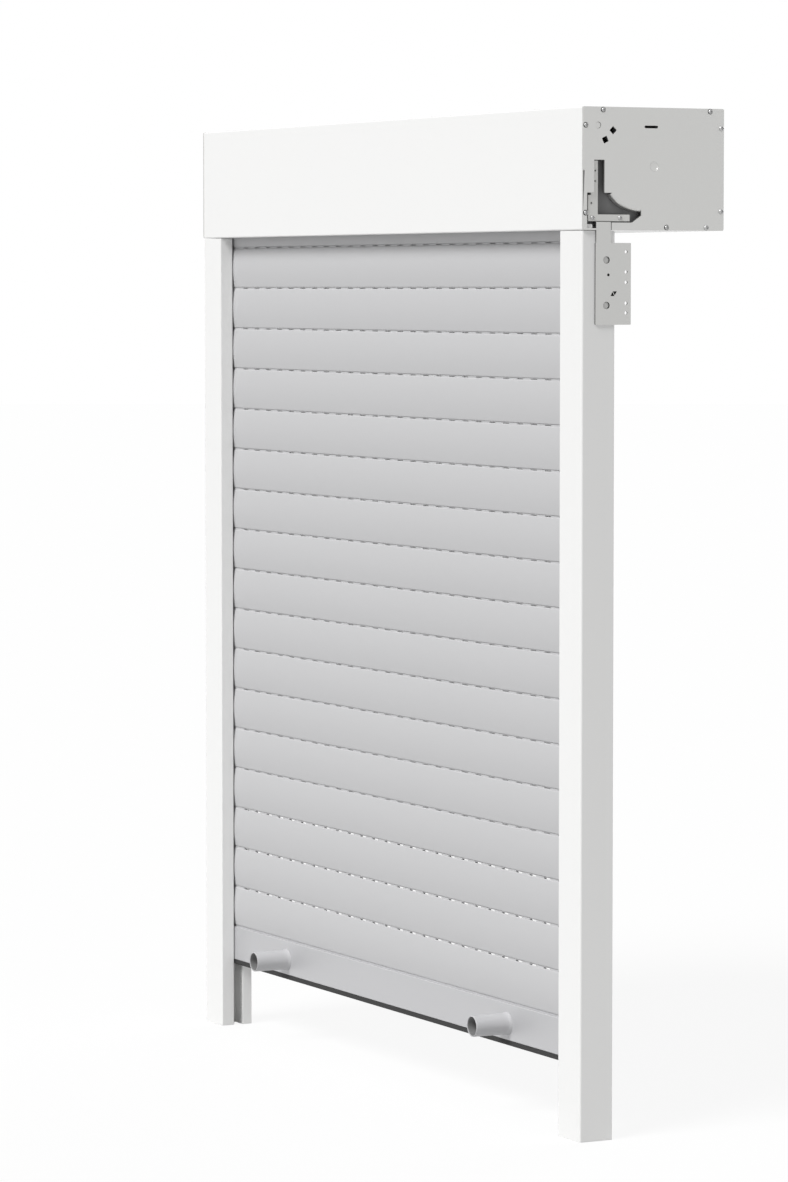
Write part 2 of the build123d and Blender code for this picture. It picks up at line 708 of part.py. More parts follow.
# Stoppers: hollow tubes that meet the box's mouth when the curtain is up
for side_name, side in sides.items():
    with BuildPart() as stopper:
        with BuildSketch(Plane.XZ.offset(-slat_front_y)):
            with Locations((side * stopper_spacing / 2, stopper_z)):
                Circle(stopper_radius)
        extrude(amount=stopper_length)
        with BuildSketch(Plane.XZ.offset(-slat_front_y)):
            with Locations((side * stopper_spacing / 2, stopper_z)):
                Circle(stopper_collar_radius)
        extrude(amount=stopper_collar_length)
        with BuildSketch(Plane.XZ.offset(-slat_front_y + stopper_floor)):
            with Locations((side * stopper_spacing / 2, stopper_z)):
                Circle(stopper_bore_radius)
        extrude(amount=stopper_length, mode=Mode.SUBTRACT)
        with BuildSketch(Plane.XZ.offset(-slat_front_y)):
            with Locations((side * stopper_spacing / 2, stopper_z)):
                Circle(stopper_screw_shank_radius + stopper_screw_clearance)
        extrude(amount=stopper_floor, mode=Mode.SUBTRACT)
        rim = stopper.edges().filter_by(GeomType.CIRCLE).group_by(Axis.Y)[0]
        fillet(rim, radius=(stopper_radius - stopper_bore_radius) / 3)
    stopper.part.label = f"stopper_{side_name}"
    export_step(stopper.part, f"parts/stopper_{side_name}.step")

# Screws that hold the stoppers on the bar, inside their bores
with BuildPart() as stopper_screws:
    with BuildSketch(Plane.XZ.offset(-slat_front_y + stopper_floor)):
        with Locations(*stopper_places):
            Circle(stopper_screw_head_radius)
    extrude(amount=stopper_screw_head_height)
    with BuildSketch(Plane.XZ.offset(-slat_front_y + stopper_floor)):
        with Locations(*stopper_places):
            Circle(stopper_screw_shank_radius)
    extrude(amount=-(stopper_floor + stopper_screw_grip))
stopper_screws.part.label = "stopper_screws"
export_step(stopper_screws.part, "parts/stopper_screws.step")

# Octagonal shaft
shaft_left_x = -inner_half_width + shaft_left_gap
shaft_right_x = inner_half_width - shaft_right_gap
shaft_inner_flats = shaft_across_flats - 2 * shaft_wall
insert_apothem = shaft_inner_flats / 2 - shaft_insert_clearance
with BuildPart() as octagonal_shaft:
    with BuildSketch(Plane.YZ.offset(shaft_left_x)):
        with Locations((axis_y, axis_z)):
            RegularPolygon(shaft_across_flats / 2, shaft_sides, major_radius=False, rotation=flat_turn)
            RegularPolygon(
                shaft_inner_flats / 2,
                shaft_sides,
                major_radius=False,
                rotation=flat_turn,
                mode=Mode.SUBTRACT,
            )
    extrude(amount=shaft_right_x - shaft_left_x)
octagonal_shaft.part.label = "octagonal_shaft"
export_step(octagonal_shaft.part, "parts/octagonal_shaft.step")

# Motor bracket on the inner face of the right end plate, with a square hole for the motor head
bracket_inner_x = inner_half_width - bracket_plate_thickness
with BuildPart() as motor_bracket:
    with BuildSketch(Plane.YZ.offset(bracket_inner_x)):
        with Locations((axis_y, axis_z)):
            Circle(motor_bracket_radius)
            Rectangle(
                square_stub_size + 2 * square_stub_clearance,
                square_stub_size + 2 * square_stub_clearance,
                mode=Mode.SUBTRACT,
            )
    extrude(amount=bracket_plate_thickness)
motor_bracket.part.label = "motor_bracket"
export_step(motor_bracket.part, "parts/motor_bracket.step")

# Motor head, held against turning by its square stub; its round tip sits in the plate's blind hole
motor_head_x = bracket_inner_x - motor_head_length
with BuildPart() as motor_head:
    with BuildSketch(Plane.YZ.offset(motor_head_x)):
        with Locations((axis_y, axis_z)):
            Circle(motor_head_radius)
    extrude(amount=motor_head_length)
    with BuildSketch(Plane.YZ.offset(bracket_inner_x)):
        with Locations((axis_y, axis_z)):
            Rectangle(square_stub_size, square_stub_size)
    extrude(amount=bracket_plate_thickness)
    with BuildSketch(Plane.YZ.offset(inner_half_width)):
        with Locations((axis_y, axis_z)):
            Circle(spigot_radius)
    extrude(amount=end_plate_thickness / 2)
motor_head.part.label = "motor_head"
export_step(motor_head.part, "parts/motor_head.step")

# Tube motor inside the shaft, with a bore for its output spindle
motor_left_x = motor_head_x - motor_length
with BuildPart() as tube_motor:
    with BuildSketch(Plane.YZ.offset(motor_left_x)):
        with Locations((axis_y, axis_z)):
            Circle(motor_radius)
    extrude(amount=motor_length)
    with BuildSketch(Plane.YZ.offset(motor_left_x)):
        with Locations((axis_y, axis_z)):
            Circle(spindle_radius + running_clearance)
    extrude(amount=spindle_bore_depth, mode=Mode.SUBTRACT)
tube_motor.part.label = "tube_motor"
export_step(tube_motor.part, "parts/tube_motor.step")

# Output spindle of the motor
spindle_right_x = motor_left_x + spindle_bore_depth - drive_wheel_gap
with BuildPart() as output_spindle:
    with BuildSketch(Plane.YZ.offset(spindle_right_x)):
        with Locations((axis_y, axis_z)):
            Circle(spindle_radius)
    extrude(amount=-spindle_length)
output_spindle.part.label = "output_spindle"
export_step(output_spindle.part, "parts/output_spindle.step")

# Drive wheel on the spindle, which turns the shaft from inside
drive_wheel_x = motor_left_x - drive_wheel_gap
with BuildPart() as drive_wheel:
    with BuildSketch(Plane.YZ.offset(drive_wheel_x)):
        with Locations((axis_y, axis_z)):
            RegularPolygon(insert_apothem, shaft_sides, major_radius=False, rotation=flat_turn)
            Circle(spindle_radius + running_clearance, mode=Mode.SUBTRACT)
    extrude(amount=-drive_wheel_length)
drive_wheel.part.label = "drive_wheel"
export_step(drive_wheel.part, "parts/drive_wheel.step")

# Drive crown: it plugs the shaft's right end and runs on the motor's tube
with BuildPart() as drive_crown:
    with BuildSketch(Plane.YZ.offset(shaft_right_x)):
        with Locations((axis_y, axis_z)):
            RegularPolygon(insert_apothem, shaft_sides, major_radius=False, rotation=flat_turn)
            Circle(motor_radius + running_clearance, mode=Mode.SUBTRACT)
    extrude(amount=-crown_plug_length)
    with BuildSketch(Plane.YZ.offset(shaft_right_x)):
        with Locations((axis_y, axis_z)):
            Circle(crown_flange_radius)
            Circle(motor_radius + running_clearance, mode=Mode.SUBTRACT)
    extrude(amount=crown_flange_length)
drive_crown.part.label = "drive_crown"
export_step(drive_crown.part, "parts/drive_crown.step")

# Idler cap in the shaft's left end
with BuildPart() as idler_cap:
    with BuildSketch(Plane.YZ.offset(shaft_left_x)):
        with Locations((axis_y, axis_z)):
            RegularPolygon(insert_apothem, shaft_sides, major_radius=False, rotation=flat_turn)
    extrude(amount=idler_plug_length)
    with BuildSketch(Plane.YZ.offset(shaft_left_x)):
        with Locations((axis_y, axis_z)):
            Circle(crown_flange_radius)
    extrude(amount=-idler_flange_length)
    with BuildSketch(Plane.YZ.offset(shaft_left_x - idler_flange_length)):
        with Locations((axis_y, axis_z)):
            Circle(idler_pin_radius + running_clearance)
    extrude(amount=idler_flange_length + idler_plug_length, mode=Mode.SUBTRACT)
idler_cap.part.label = "idler_cap"
export_step(idler_cap.part, "parts/idler_cap.step")

# Idler pin, from the cap into the bearing
left_bracket_x = -inner_half_width + bracket_plate_thickness
with BuildPart() as idler_pin:
    with BuildSketch(Plane.YZ.offset(left_bracket_x + idler_pin_end_gap)):
        with Locations((axis_y, axis_z)):
            Circle(idler_pin_radius)
    extrude(amount=shaft_left_x + idler_plug_length - left_bracket_x - idler_pin_end_gap)
idler_pin.part.label = "idler_pin"
export_step(idler_pin.part, "parts/idler_pin.step")

# Plain bearing of the idler pin
with BuildPart() as shaft_bearing:
    with BuildSketch(Plane.YZ.offset(left_bracket_x)):
        with Locations((axis_y, axis_z)):
            Circle(bearing_radius)
            Circle(idler_pin_radius + running_clearance, mode=Mode.SUBTRACT)
    extrude(amount=bearing_length)
shaft_bearing.part.label = "shaft_bearing"
export_step(shaft_bearing.part, "parts/shaft_bearing.step")

# Bearing bracket on the left end plate, with the cup that holds the bearing
with BuildPart() as bearing_bracket:
    with BuildSketch(Plane.YZ.offset(-inner_half_width)):
        with Locations((axis_y, axis_z)):
            Circle(motor_bracket_radius)
    extrude(amount=bracket_plate_thickness)
    with BuildSketch(Plane.YZ.offset(-inner_half_width)):
        with Locations((axis_y, axis_z)):
            Circle(spigot_radius)
    extrude(amount=-end_plate_thickness / 2)
    with BuildSketch(Plane.YZ.offset(left_bracket_x)):
        with Locations((axis_y, axis_z)):
            Circle(bearing_radius + bearing_cup_wall)
            Circle(bearing_radius + spigot_clearance, mode=Mode.SUBTRACT)
    extrude(amount=bearing_length)
bearing_bracket.part.label = "bearing_bracket"
export_step(bearing_bracket.part, "parts/bearing_bracket.step")

# Spring steel straps from the shaft's upper front flat down to the top slat
strap_line = shaft_across_flats / 2 + strap_seat_gap + strap_thickness / 2
half_flat = shaft_across_flats / 2 * math.tan(math.pi / shaft_sides)
slope = math.sqrt(1 / 2)
flat_middle_y = axis_y - strap_line * slope
flat_middle_z = axis_z + strap_line * slope
strap_end_z = bar_hanging_height + (slat_count + 1) * slat_pitch - slat_gap + tongue_height + strap_seat_gap
strap_route = [
    (flat_middle_y + half_flat * slope, flat_middle_z + half_flat * slope),
    (flat_middle_y - half_flat * slope, flat_middle_z - half_flat * slope),
    (tongue_y, strap_end_z + strap_drop),
    (tongue_y, strap_end_z),
]
with BuildPart() as hanger_straps:
    for share in strap_positions_shares:
        with BuildSketch(Plane.YZ.offset(share * overall_width)):
            with BuildLine():
                FilletPolyline(*strap_route, radius=strap_bend_radius)
            trace(line_width=strap_thickness)
        extrude(amount=strap_width / 2, both=True)
hanger_straps.part.label = "hanger_straps"
export_step(hanger_straps.part, "parts/hanger_straps.step")
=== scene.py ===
"""Looks of an exterior roller shutter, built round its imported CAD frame.

Metres, in the frame's own axes: X along the window, Y from the outside towards the window, Z up.
Lengths in the tables below are millimetres, as in the CAD, and are turned into metres by mm().
"""
import math

import bmesh
import bpy
import numpy as np
from bpy.props import FloatProperty, FloatVectorProperty, PointerProperty
from mathutils import Matrix, Vector
from mathutils.geometry import tessellate_polygon


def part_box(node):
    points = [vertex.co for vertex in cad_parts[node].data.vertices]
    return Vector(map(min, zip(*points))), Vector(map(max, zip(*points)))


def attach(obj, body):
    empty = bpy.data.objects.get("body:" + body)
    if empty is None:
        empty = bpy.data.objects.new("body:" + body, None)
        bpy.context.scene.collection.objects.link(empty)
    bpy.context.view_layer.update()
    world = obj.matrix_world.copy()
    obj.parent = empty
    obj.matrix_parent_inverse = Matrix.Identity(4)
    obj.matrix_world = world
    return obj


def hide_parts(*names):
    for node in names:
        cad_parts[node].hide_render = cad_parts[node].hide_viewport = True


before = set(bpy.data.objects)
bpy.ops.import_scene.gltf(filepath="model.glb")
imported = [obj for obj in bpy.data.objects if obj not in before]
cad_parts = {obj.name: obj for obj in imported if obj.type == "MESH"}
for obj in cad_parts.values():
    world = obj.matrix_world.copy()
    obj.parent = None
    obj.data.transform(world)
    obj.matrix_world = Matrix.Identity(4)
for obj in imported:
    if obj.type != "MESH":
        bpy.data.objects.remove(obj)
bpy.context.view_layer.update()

bl_info = {
    "name": "Exterior roller shutter",
    "version": (1, 0, 0),
    "blender": (4, 5, 0),
    "location": "3D View > Sidebar > Shutter",
    "description": "Builds the visible pieces of a roller shutter round its CAD frame",
    "category": "Object",
}

SIDES = {"left": -1, "right": 1}

# Panels of the headbox
PANEL_THICKNESS = 8.0
PANEL_WALL = 1.6
CHAMBER_COUNT = 5
MOUTH_LIP = 16.0
MOUTH_LIP_ROUND = 1.5
MOUTH_LIP_FILLET = 0.5
MOUTH_REAR_ROUND = 1.0
PANEL_JOINT_ROUND = 0.3
WINDOW_FACE_Y = 0.0

# End plates: places from the plate's front edge and lower edge
BOX_DEPTH = 220.0
BOX_HEIGHT = 165.0
PLATE_ROUND = 0.6
SCREW_PLACES = (
    (30.8, 161.0), (198.0, 161.0), (129.8, 4.0), (4.0, 23.1), (4.0, 140.25),
    (192.5, 4.0), (216.0, 26.07), (216.0, 138.6),
)
SCREW_HOLE = 1.85
# The first screws stand in ring gaps. Heads are given as radius, height and width of the cross
GAPPED_SCREWS = 5
GAP_RADIUS = 3.8
GAPPED_HEAD = (2.9, 2.2, 1.3)
FULL_HEAD = (3.6, 2.2, 1.3)
SHANK_RADIUS = 1.7
SHANK_LENGTH = 20.0
SHANK_OVERLAP = 0.4
AXIS_PLACE = (110.0, 86.0)
DIMPLE_RADIUS = 6.5
DIMPLE_PROFILE = (
    (0, 1.52), (6.45, 1.52), (6.5, 2.95), (6.3, 2.5), (5.8, 2.05), (4.8, 1.75), (2.4, 1.64), (0, 1.62),
)
SQUARE_HOLES = ((46.2, 133.65, 45.0), (34.1, 120.945, 25.0))
SQUARE_HOLE_SIZE = 8.0
SQUARE_HOLE_ROUND = 0.5
# Level slot: place, length and width, and the share of the width that rounds its ends
LEVEL_SLOT = (105.6, 138.93, 21.0, 3.5)
LEVEL_SLOT_ROUND = 0.49
PLUG_PLACE = (23.1, 140.25)
PLUG_RADIUS = 4.5
PLUG_PROFILE = ((0, 0), (4.4, 0), (4.4, 1.7), (4.0, 2.1), (2.0, 2.3), (0, 2.35))
NOTCH_FRONT = 20.5
NOTCH_REAR = 44.5
ANCHOR_WINDOW = (6.3, 31.0, 2.5, 50.0)
ANCHOR_SLOT = (17.0, 33.0, 94.0)
ROLL_ARC = ((45.1, 49.995), (62.92, 34.98), (90.2, 28.05))
ROLL_HEEL = (90.2, 19.8)
ROLL_TOE = (75.9, 10.23)
# Section of the lip on the roll window's curved edge: offset from it, and X from the plate's outer face
ROLL_LIP = (
    (-0.1, 0.0), (0.7, -0.3), (1.9, -1.2), (3.0, -2.8), (3.9, -5.2), (4.4, -8.0),
    (3.7, -8.1), (3.0, -5.4), (1.9, -3.6), (0.8, -2.8), (-0.1, -2.6),
)

# Guide rails
RAIL_WIDTH = 60.0
RAIL_DEPTH = 51.0
RAIL_WALL = 2.5
SLOT_FRONT_WALL = 20.0
SLOT_WIDTH = 15.5
SLOT_DEPTH = 28.0
SEAL_SET_BACK = 1.5
SEAL_WIDTH = 5.0
SEAL_ROOT = 1.2
GROOVE_ROUND = 0.1
RAIL_REAR_ROUND = 1.0
SLOT_MOUTH_ROUND = 0.6
SLOT_END_ROUND = 0.5
RAIL_TOP_GAP = 0.7

# Brackets and anchors, as places in Y and Z
BRACKET_OUTLINE = (
    (-31.0, 1108.0), (24.0, 1108.0), (24.0, 1218.0), (-7.0, 1218.0),
    (-7.0, 1246.5), (-30.0, 1246.5), (-30.0, 1218.0), (-31.0, 1218.0),
)
BRACKET_RADII = (1.0, 1.0, 1.0, 0.8, 0, 0, 0.4, 1.0)
HOOK_REACH = 8.0
HOOK_DROP = 3.5
HOOK_THICKNESS = 2.0
HOOK_RADII = (0, 0, 2.6, 0.5, 0.5, 0.6)
RIVET_PLACES = ((-14.0, 1195.0), (-14.0, 1134.0))
RIVET_HOLE = 5.0
RIVET_PROFILE = ((0, 0), (4.9, 0), (4.85, 0.3), (4.3, 0.65), (3.2, 0.9), (1.6, 1.05), (0, 1.1))
PILOT_HOLE = (-11.0, 1175.0, 2.0)
NOTCHES = ((-4.6, 1148.4, 90.0), (-1.0, 1151.2, 30.0))
NOTCH_SIZE = 3.6
# The sheets behind the pilot hole and notches are painted shade: near-black, so the holes read dark inside
PILOT_SHADE_SHEET = 3.0
NOTCH_SHADE_SHEET = 3.8
SHADE_SHEET_ROUND = 0.5
SHADE_SHEET_THICKNESS = 0.4
FACE_TOLERANCE = 0.05
FRONT_FACING = -0.7
WINDOW_HOLES = ((16.5, 1206.0), (16.5, 1179.0), (16.5, 1165.0), (16.5, 1137.0), (16.5, 1124.0))
WINDOW_HOLE = 2.25
ANCHOR_OUTLINE = (
    (-41.5, 1247.0), (23.0, 1247.0), (23.0, 1256.0), (-26.5, 1256.0), (-26.5, 1328.0), (-37.0, 1328.0),
    (-37.0, 1282.0), (-41.5, 1282.0),
)
ANCHOR_ROUND = 0.8
ANCHOR_HOLES = ((-36.5, 1271.0), (-30.5, 1300.5), (-30.5, 1314.5))
ANCHOR_HOLE = 1.3
ANCHOR_SCREWS = ((-34.5, 1251.5), (8.0, 1251.5))
ANCHOR_HEAD = (3.0, 2.0, 1.1)

# Curtain
SLAT_COUNT = 18
SLAT_PITCH = 62.5
SLAT_HEIGHT = 60.0
SLAT_BASE = 96.0
SLAT_REAR = -17.25
SLAT_FRONT = -29.25
SLAT_EDGE_DEPTH = 9.2
SLAT_GAP = 2.5
SLAT_TOP_FALL = 3.0
SLAT_WALL = 1.2
SLAT_REAR_ROUND = 0.8
# The lowest joints are open to the light: their skirts are shorter and their notches deeper
OPEN_SLATS = 4
LOWEST_SKIRT_DEPTH = 2.0
OPEN_SKIRT_DEPTH = 3.1
SKIRT_DEPTH = 4.4
SKIRT_ROUND = 0.4
# Tongue, in heights above the top that it stands on
TONGUE_Y = -21.5
TONGUE_HALF = 0.8
TONGUE_HEIGHT = 14.0
TONGUE_SLIT = 3.2
WEB_END = 13.0
HOOK_HALF = 2.5
HOOK_HEIGHT = 2.0
HOOK_ROUND = 0.6
SLAT_WEB_LOW = -2.6
BAR_WEB_LOW = -0.6
LIGHT_SLOT_COUNT = 26
LIGHT_SLOT_PITCH = 40.0
LIGHT_SLOT_ROUND = 1.0
LIGHT_SLOT_HIGH = 5.3
SLAT_SLOT_LOW = -1.9
BAR_SLOT_LOW = 1.3
SHOULDER_FRONT = -25.6
SHOULDER_REAR = -22.2
SHOULDER_LOW = -1.6
SHOULDER_HIGH = 2.2
GAP_NOTCH_HALF = 9.0
GAP_NOTCH_ROUND = 0.45
GAP_NOTCH_HIGH = 1.4
GAP_NOTCH_LOW = 0.4
OPEN_GAP_NOTCH_LOW = -1.3

# Bottom bar, its seal and its stoppers
CURTAIN_Y = -23.25
BAR_WALL = 1.5
BAR_NECK = 1.7
BAR_RADII = (0.3, 1.6, 1.6, 1.6, 1.6, 0.3, 0.3, 0.5, 0.5, 0.5, 0.5, 0.3)
RUBBER_HALF = 5.0
RUBBER_NECK = 1.5
RUBBER_BEAD = 3.5
RUBBER_BEAD_LOW = 1.7
RUBBER_RADII = (3.0, 3.0, 0.8, 0.2, 0.2, 0.6, 0.6, 0.6, 0.6, 0.2, 0.2, 0.8)
RUBBER_BORE = 2.2
RUBBER_BORE_HEIGHT = 4.0
STOPPER_PLACES = (-352.0, 352.0)
STOPPER_Z = 127.25
STOPPER_FLOOR = 4.0
STOPPER_BORE = 13.4
STOPPER_MARGIN = 0.1
STOPPER_HEAD = (4.5, 3.0, 1.5)
STOPPER_SHANK = 2.0
STOPPER_PROFILE = (
    (0, 0), (16.5, 0), (16.4, 0.8), (16.1, 1.8), (15.6, 2.9), (15.2, 4.2), (15.0, 6.5), (14.9, 28.0),
    (14.8, 54.2), (14.6, 55.3), (14.2, 55.9), (13.8, 56.0), (13.5, 55.7), (13.35, 55.0), (13.3, 53.6),
    (13.2, 30.0), (13.0, 5.0), (12.2, 4.1), (7.0, 4.0), (0, 4.0),
)

# Stage, in metres and radians
FLOOR_RADIUS = 40.0
FLOOR_GLOW = 1.06
FLOOR_GLOW_SHARE = 0.84
FILL_STRENGTH = 0.36
SKY_STRENGTH = 1.0
CAMERA_PLACE = (6.0455, -3.1550, 1.1576)
CAMERA_TURN = (1.0931, -0.0649)
# Distant lamps: name, direction towards the lamp, strength and softness in degrees
LAMPS = (("key", (0.19, -0.64, 0.745), 2.53, 25.0), ("back", (-0.55, 0.75, 0.45), 0.72, 40.0))


def metres(name, description, default):
    """Property of a length in metres."""
    return FloatProperty(name=name, description=description, default=default, unit="LENGTH")


def rgb(name, description, default):
    """Property of a colour."""
    return FloatVectorProperty(name=name, description=description, default=default, subtype="COLOR")


class ShutterSizes(bpy.types.PropertyGroup):
    """Lengths that a user would change."""

    rail_corner: metres("Rail corner", "Radius of the guide rails' outer corners", 0.003)
    panel_corner: metres("Panel corner", "Radius of the headbox panels' corners", 0.002)
    slat_edge: metres("Slat edge", "Radius of the slats' long edges", 0.00126)
    sheet_bevel: metres("Sheet bevel", "Bevel on the cut edges of sheet metal", 0.0003)
    lens: FloatProperty(name="Lens", description="Focal length of the camera in millimetres", default=142.05)


class ShutterColours(bpy.types.PropertyGroup):
    """Colours that a user would change."""

    white: rgb("White profile", "Headbox and guide rails", (0.87, 0.87, 0.85))
    slat: rgb("Slat", "Slats and bottom bar", (0.55, 0.55, 0.55))
    sheet: rgb("Galvanised sheet", "End plates", (0.79, 0.79, 0.775))
    rubber: rgb("Rubber", "Seal under the bar", (0.05, 0.051, 0.05))
    dark_plastic: rgb("Dark plastic", "Gliders and wheels", (0.06, 0.06, 0.065))
    ground: rgb("Ground", "Floor of the stage", (0.6, 0.6, 0.6))


def mm(values):
    """Millimetres into metres, as an array."""
    return np.asarray(values, float) * 0.001


def in_mm(box):
    """Low and high corner of a box, from metres into millimetres."""
    return [np.array(corner) * 1000 for corner in box]


# Outlines and solids


def rounded(points, radii, steps=5):
    """Closed outline with each corner replaced by the arc that touches both its sides.

    A corner's tangent length is radius / tan(half angle), its centre lies on the bisector at
    radius / sin(half angle), and the arc's points are a spherical interpolation between the two
    tangent points seen from that centre. A radius of 0 keeps the corner.
    """
    p = np.asarray(points, float)
    r = np.broadcast_to(np.asarray(radii, float), (len(p),))[:, None]
    to_last = np.roll(p, 1, 0) - p
    to_next = np.roll(p, -1, 0) - p
    to_last /= np.linalg.norm(to_last, axis=1, keepdims=True)
    to_next /= np.linalg.norm(to_next, axis=1, keepdims=True)
    half = 0.5 * np.arccos(np.clip((to_last * to_next).sum(1, keepdims=True), -1, 1))
    tangent = r / np.tan(np.maximum(half, 1e-6))
    middle = to_last + to_next
    length = np.linalg.norm(middle, axis=1, keepdims=True)
    middle = np.divide(middle, length, out=np.zeros_like(middle), where=length > 1e-9)
    centre = p + middle * r / np.sin(half)
    first = p + to_last * tangent - centre
    last = p + to_next * tangent - centre
    turn = np.pi - 2 * half
    s = np.linspace(0, 1, steps)[None, :, None]
    wide = turn[:, None] > 1e-6
    sine = np.where(wide, np.sin(turn)[:, None], 1)
    a = np.where(wide, np.sin((1 - s) * turn[:, None]) / sine, 1 - s)
    b = np.where(wide, np.sin(s * turn[:, None]) / sine, s)
    outline = (centre[:, None] + a * first[:, None] + b * last[:, None]).reshape(-1, 2)
    apart = np.linalg.norm(outline - np.roll(outline, 1, 0), axis=1) > 1e-7
    return outline[apart]


def rectangle(x0, y0, x1, y1):
    """The four corners of a rectangle."""
    return np.array([(x0, y0), (x1, y0), (x1, y1), (x0, y1)])


def regular(centre, radius, count=24, turn=0.0):
    """A regular polygon: centre + radius * (cos, sin) at equal angles from turn, in degrees."""
    angle = np.radians(turn) + np.arange(count) * 2 * np.pi / count
    return np.asarray(centre, float) + radius * np.stack([np.cos(angle), np.sin(angle)], 1)


def prism(axis, outline, low, high, holes=()):
    """Solid whose section is a closed outline with holes, carried along an axis from low to high.

    Each loop gives a wall of quads between its copies at low and high, and the two ends are the
    outline filled with triangles that leave the holes open.
    """
    loops = [np.asarray(loop, float) for loop in (outline, *holes)]
    flat = np.concatenate(loops)
    count = len(flat)
    ends = np.array(tessellate_polygon([[(*q, 0.0) for q in loop.tolist()] for loop in loops]))
    across = [i for i in range(3) if i != "XYZ".index(axis)]
    points = np.zeros((2, count, 3))
    points[:, :, across] = flat
    points[0, :, "XYZ".index(axis)] = low
    points[1, :, "XYZ".index(axis)] = high
    faces = ends.tolist() + (ends[:, ::-1] + count).tolist()
    start = 0
    for loop in loops:
        index = np.arange(start, start + len(loop))
        after = np.roll(index, -1)
        faces += np.stack([index, after, after + count, index + count], 1).tolist()
        start += len(loop)
    return points.reshape(-1, 3), faces


def turned(axis, centre, profile, segments=32, recess=None):
    """Closed surface of revolution: each (radius, height) of the profile swept about an axis.

    The profile starts and ends on the axis, where its ring is one point. recess is (width, depth,
    reach): points above the first one sink by depth inside a cross of that width, within reach.
    """
    profile = np.asarray(profile, float)
    angle = np.arange(segments) * 2 * np.pi / segments
    ring = np.stack([np.cos(angle), np.sin(angle)], 1)
    inner = profile[1:-1]
    flat = inner[:, None, :1] * ring
    height = np.broadcast_to(inner[:, None, 1], flat.shape[:2]).copy()
    if recess is not None:
        width, depth, reach = recess
        arm = np.minimum(np.abs(flat[..., 0]), np.abs(flat[..., 1]))
        inside = (arm < width / 2) & (np.linalg.norm(flat, axis=2) < reach) & (height > profile[0, 1])
        height[inside] -= depth
    body = np.concatenate([flat, height[..., None]], 2).reshape(-1, 3)
    poles = np.array([(0, 0, profile[0, 1]), (0, 0, profile[-1, 1])])
    if recess is not None:
        poles[1, 2] -= recess[1]
    local = np.concatenate([body, poles])
    order = {"X": (2, 0, 1), "Y": (0, 2, 1), "Z": (0, 1, 2)}[axis]
    points = local[:, order] + np.asarray(centre, float)
    rings = len(inner)
    grid = np.arange(rings * segments).reshape(rings, segments)
    a, b = grid[:-1], grid[1:]
    quads = np.stack([a, np.roll(a, -1, 1), np.roll(b, -1, 1), b], -1).reshape(-1, 4)
    start, end = rings * segments, rings * segments + 1
    low = np.stack([np.roll(grid[0], -1), grid[0], np.full(segments, start)], 1)
    high = np.stack([grid[-1], np.roll(grid[-1], -1), np.full(segments, end)], 1)
    return points, quads.tolist() + low.tolist() + high.tolist()


def joined(*parts):
    """Several (points, faces) as one, with the faces' indices moved on."""
    points = np.concatenate([part[0] for part in parts])
    starts = np.cumsum([0] + [len(part[0]) for part in parts[:-1]])
    faces = [[i + int(start) for i in face] for part, start in zip(parts, starts) for face in part[1]]
    return points, faces


def swept(path, section):
    """Closed solid along an open path in Y and Z.

    Each point of the section is (offset, x): the offset is laid off along the path's normal on the
    right of its travel, (dz, -dy), and x is kept.
    """
    path, section = np.asarray(path, float), np.asarray(section, float)
    along = np.gradient(path, axis=0)
    along /= np.linalg.norm(along, axis=1, keepdims=True)
    normal = np.stack([along[:, 1], -along[:, 0]], 1)
    across = path[:, None] + normal[:, None] * section[None, :, :1]
    x = np.broadcast_to(section[:, 1], across.shape[:2])
    points = np.concatenate([x[..., None], across], 2).reshape(-1, 3)
    grid = np.arange(len(points)).reshape(len(path), len(section))
    a, b = grid[:-1], grid[1:]
    quads = np.stack([a, np.roll(a, -1, 1), np.roll(b, -1, 1), b], -1).reshape(-1, 4)
    return points, quads.tolist() + [grid[0].tolist(), grid[-1][::-1].tolist()]


def mirrored(part, side):
    """The part for this side: at -1 its X is turned round."""
    return part[0] * (side, 1, 1), part[1]


def on_both_sides(parts):
    """The parts and their mirror images as one."""
    return joined(*(mirrored(joined(*parts), side) for side in SIDES.values()))


def add_piece(name, part, body, slot, stands_for, look=None, bevel=0.0, crease=35.0):
    """Object from (points, faces) in metres, on a CAD body; the nodes it stands for are hidden.

    Its finish is the slot's own, unless look names another. Edges sharper than the crease angle, in
    degrees, are rounded by bevel, or kept sharp without it.
    """
    mesh = bpy.data.meshes.new(name)
    mesh.from_pydata(part[0].tolist(), [], part[1])
    shell = bmesh.new()
    shell.from_mesh(mesh)
    bmesh.ops.recalc_face_normals(shell, faces=shell.faces)
    shell.to_mesh(mesh)
    shell.free()
    mesh.shade_smooth()
    piece = bpy.data.objects.new(name, mesh)
    bpy.context.scene.collection.objects.link(piece)
    mesh.materials.append(finishes()[look or slot])
    if bevel:
        edge = piece.modifiers.new("edges", "BEVEL")
        edge.width = bevel
        edge.segments = 2
        edge.limit_method = "ANGLE"
        edge.angle_limit = math.radians(crease)
        edge.harden_normals = True
    else:
        mesh.set_sharp_from_angle(angle=math.radians(crease))
        # A flat face keeps its own normal up to the rounded corner beside it
        shading = piece.modifiers.new("shading", "WEIGHTED_NORMAL")
        shading.keep_sharp = True
    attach(piece, body)
    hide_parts(*stands_for)
    return piece


def paint_shade(piece, look, chosen):
    """Paint shade on the faces that chosen() picks from arrays of their centres and normals, as a second
    finish.
    """
    mesh = piece.data
    mesh.materials.append(finishes()[look])
    count = len(mesh.polygons)
    centres, normals = np.empty(count * 3), np.empty(count * 3)
    mesh.polygons.foreach_get("center", centres)
    mesh.polygons.foreach_get("normal", normals)
    picked = chosen(centres.reshape(-1, 3), normals.reshape(-1, 3))
    mesh.polygons.foreach_set("material_index", picked.astype(np.int32))


# Finishes


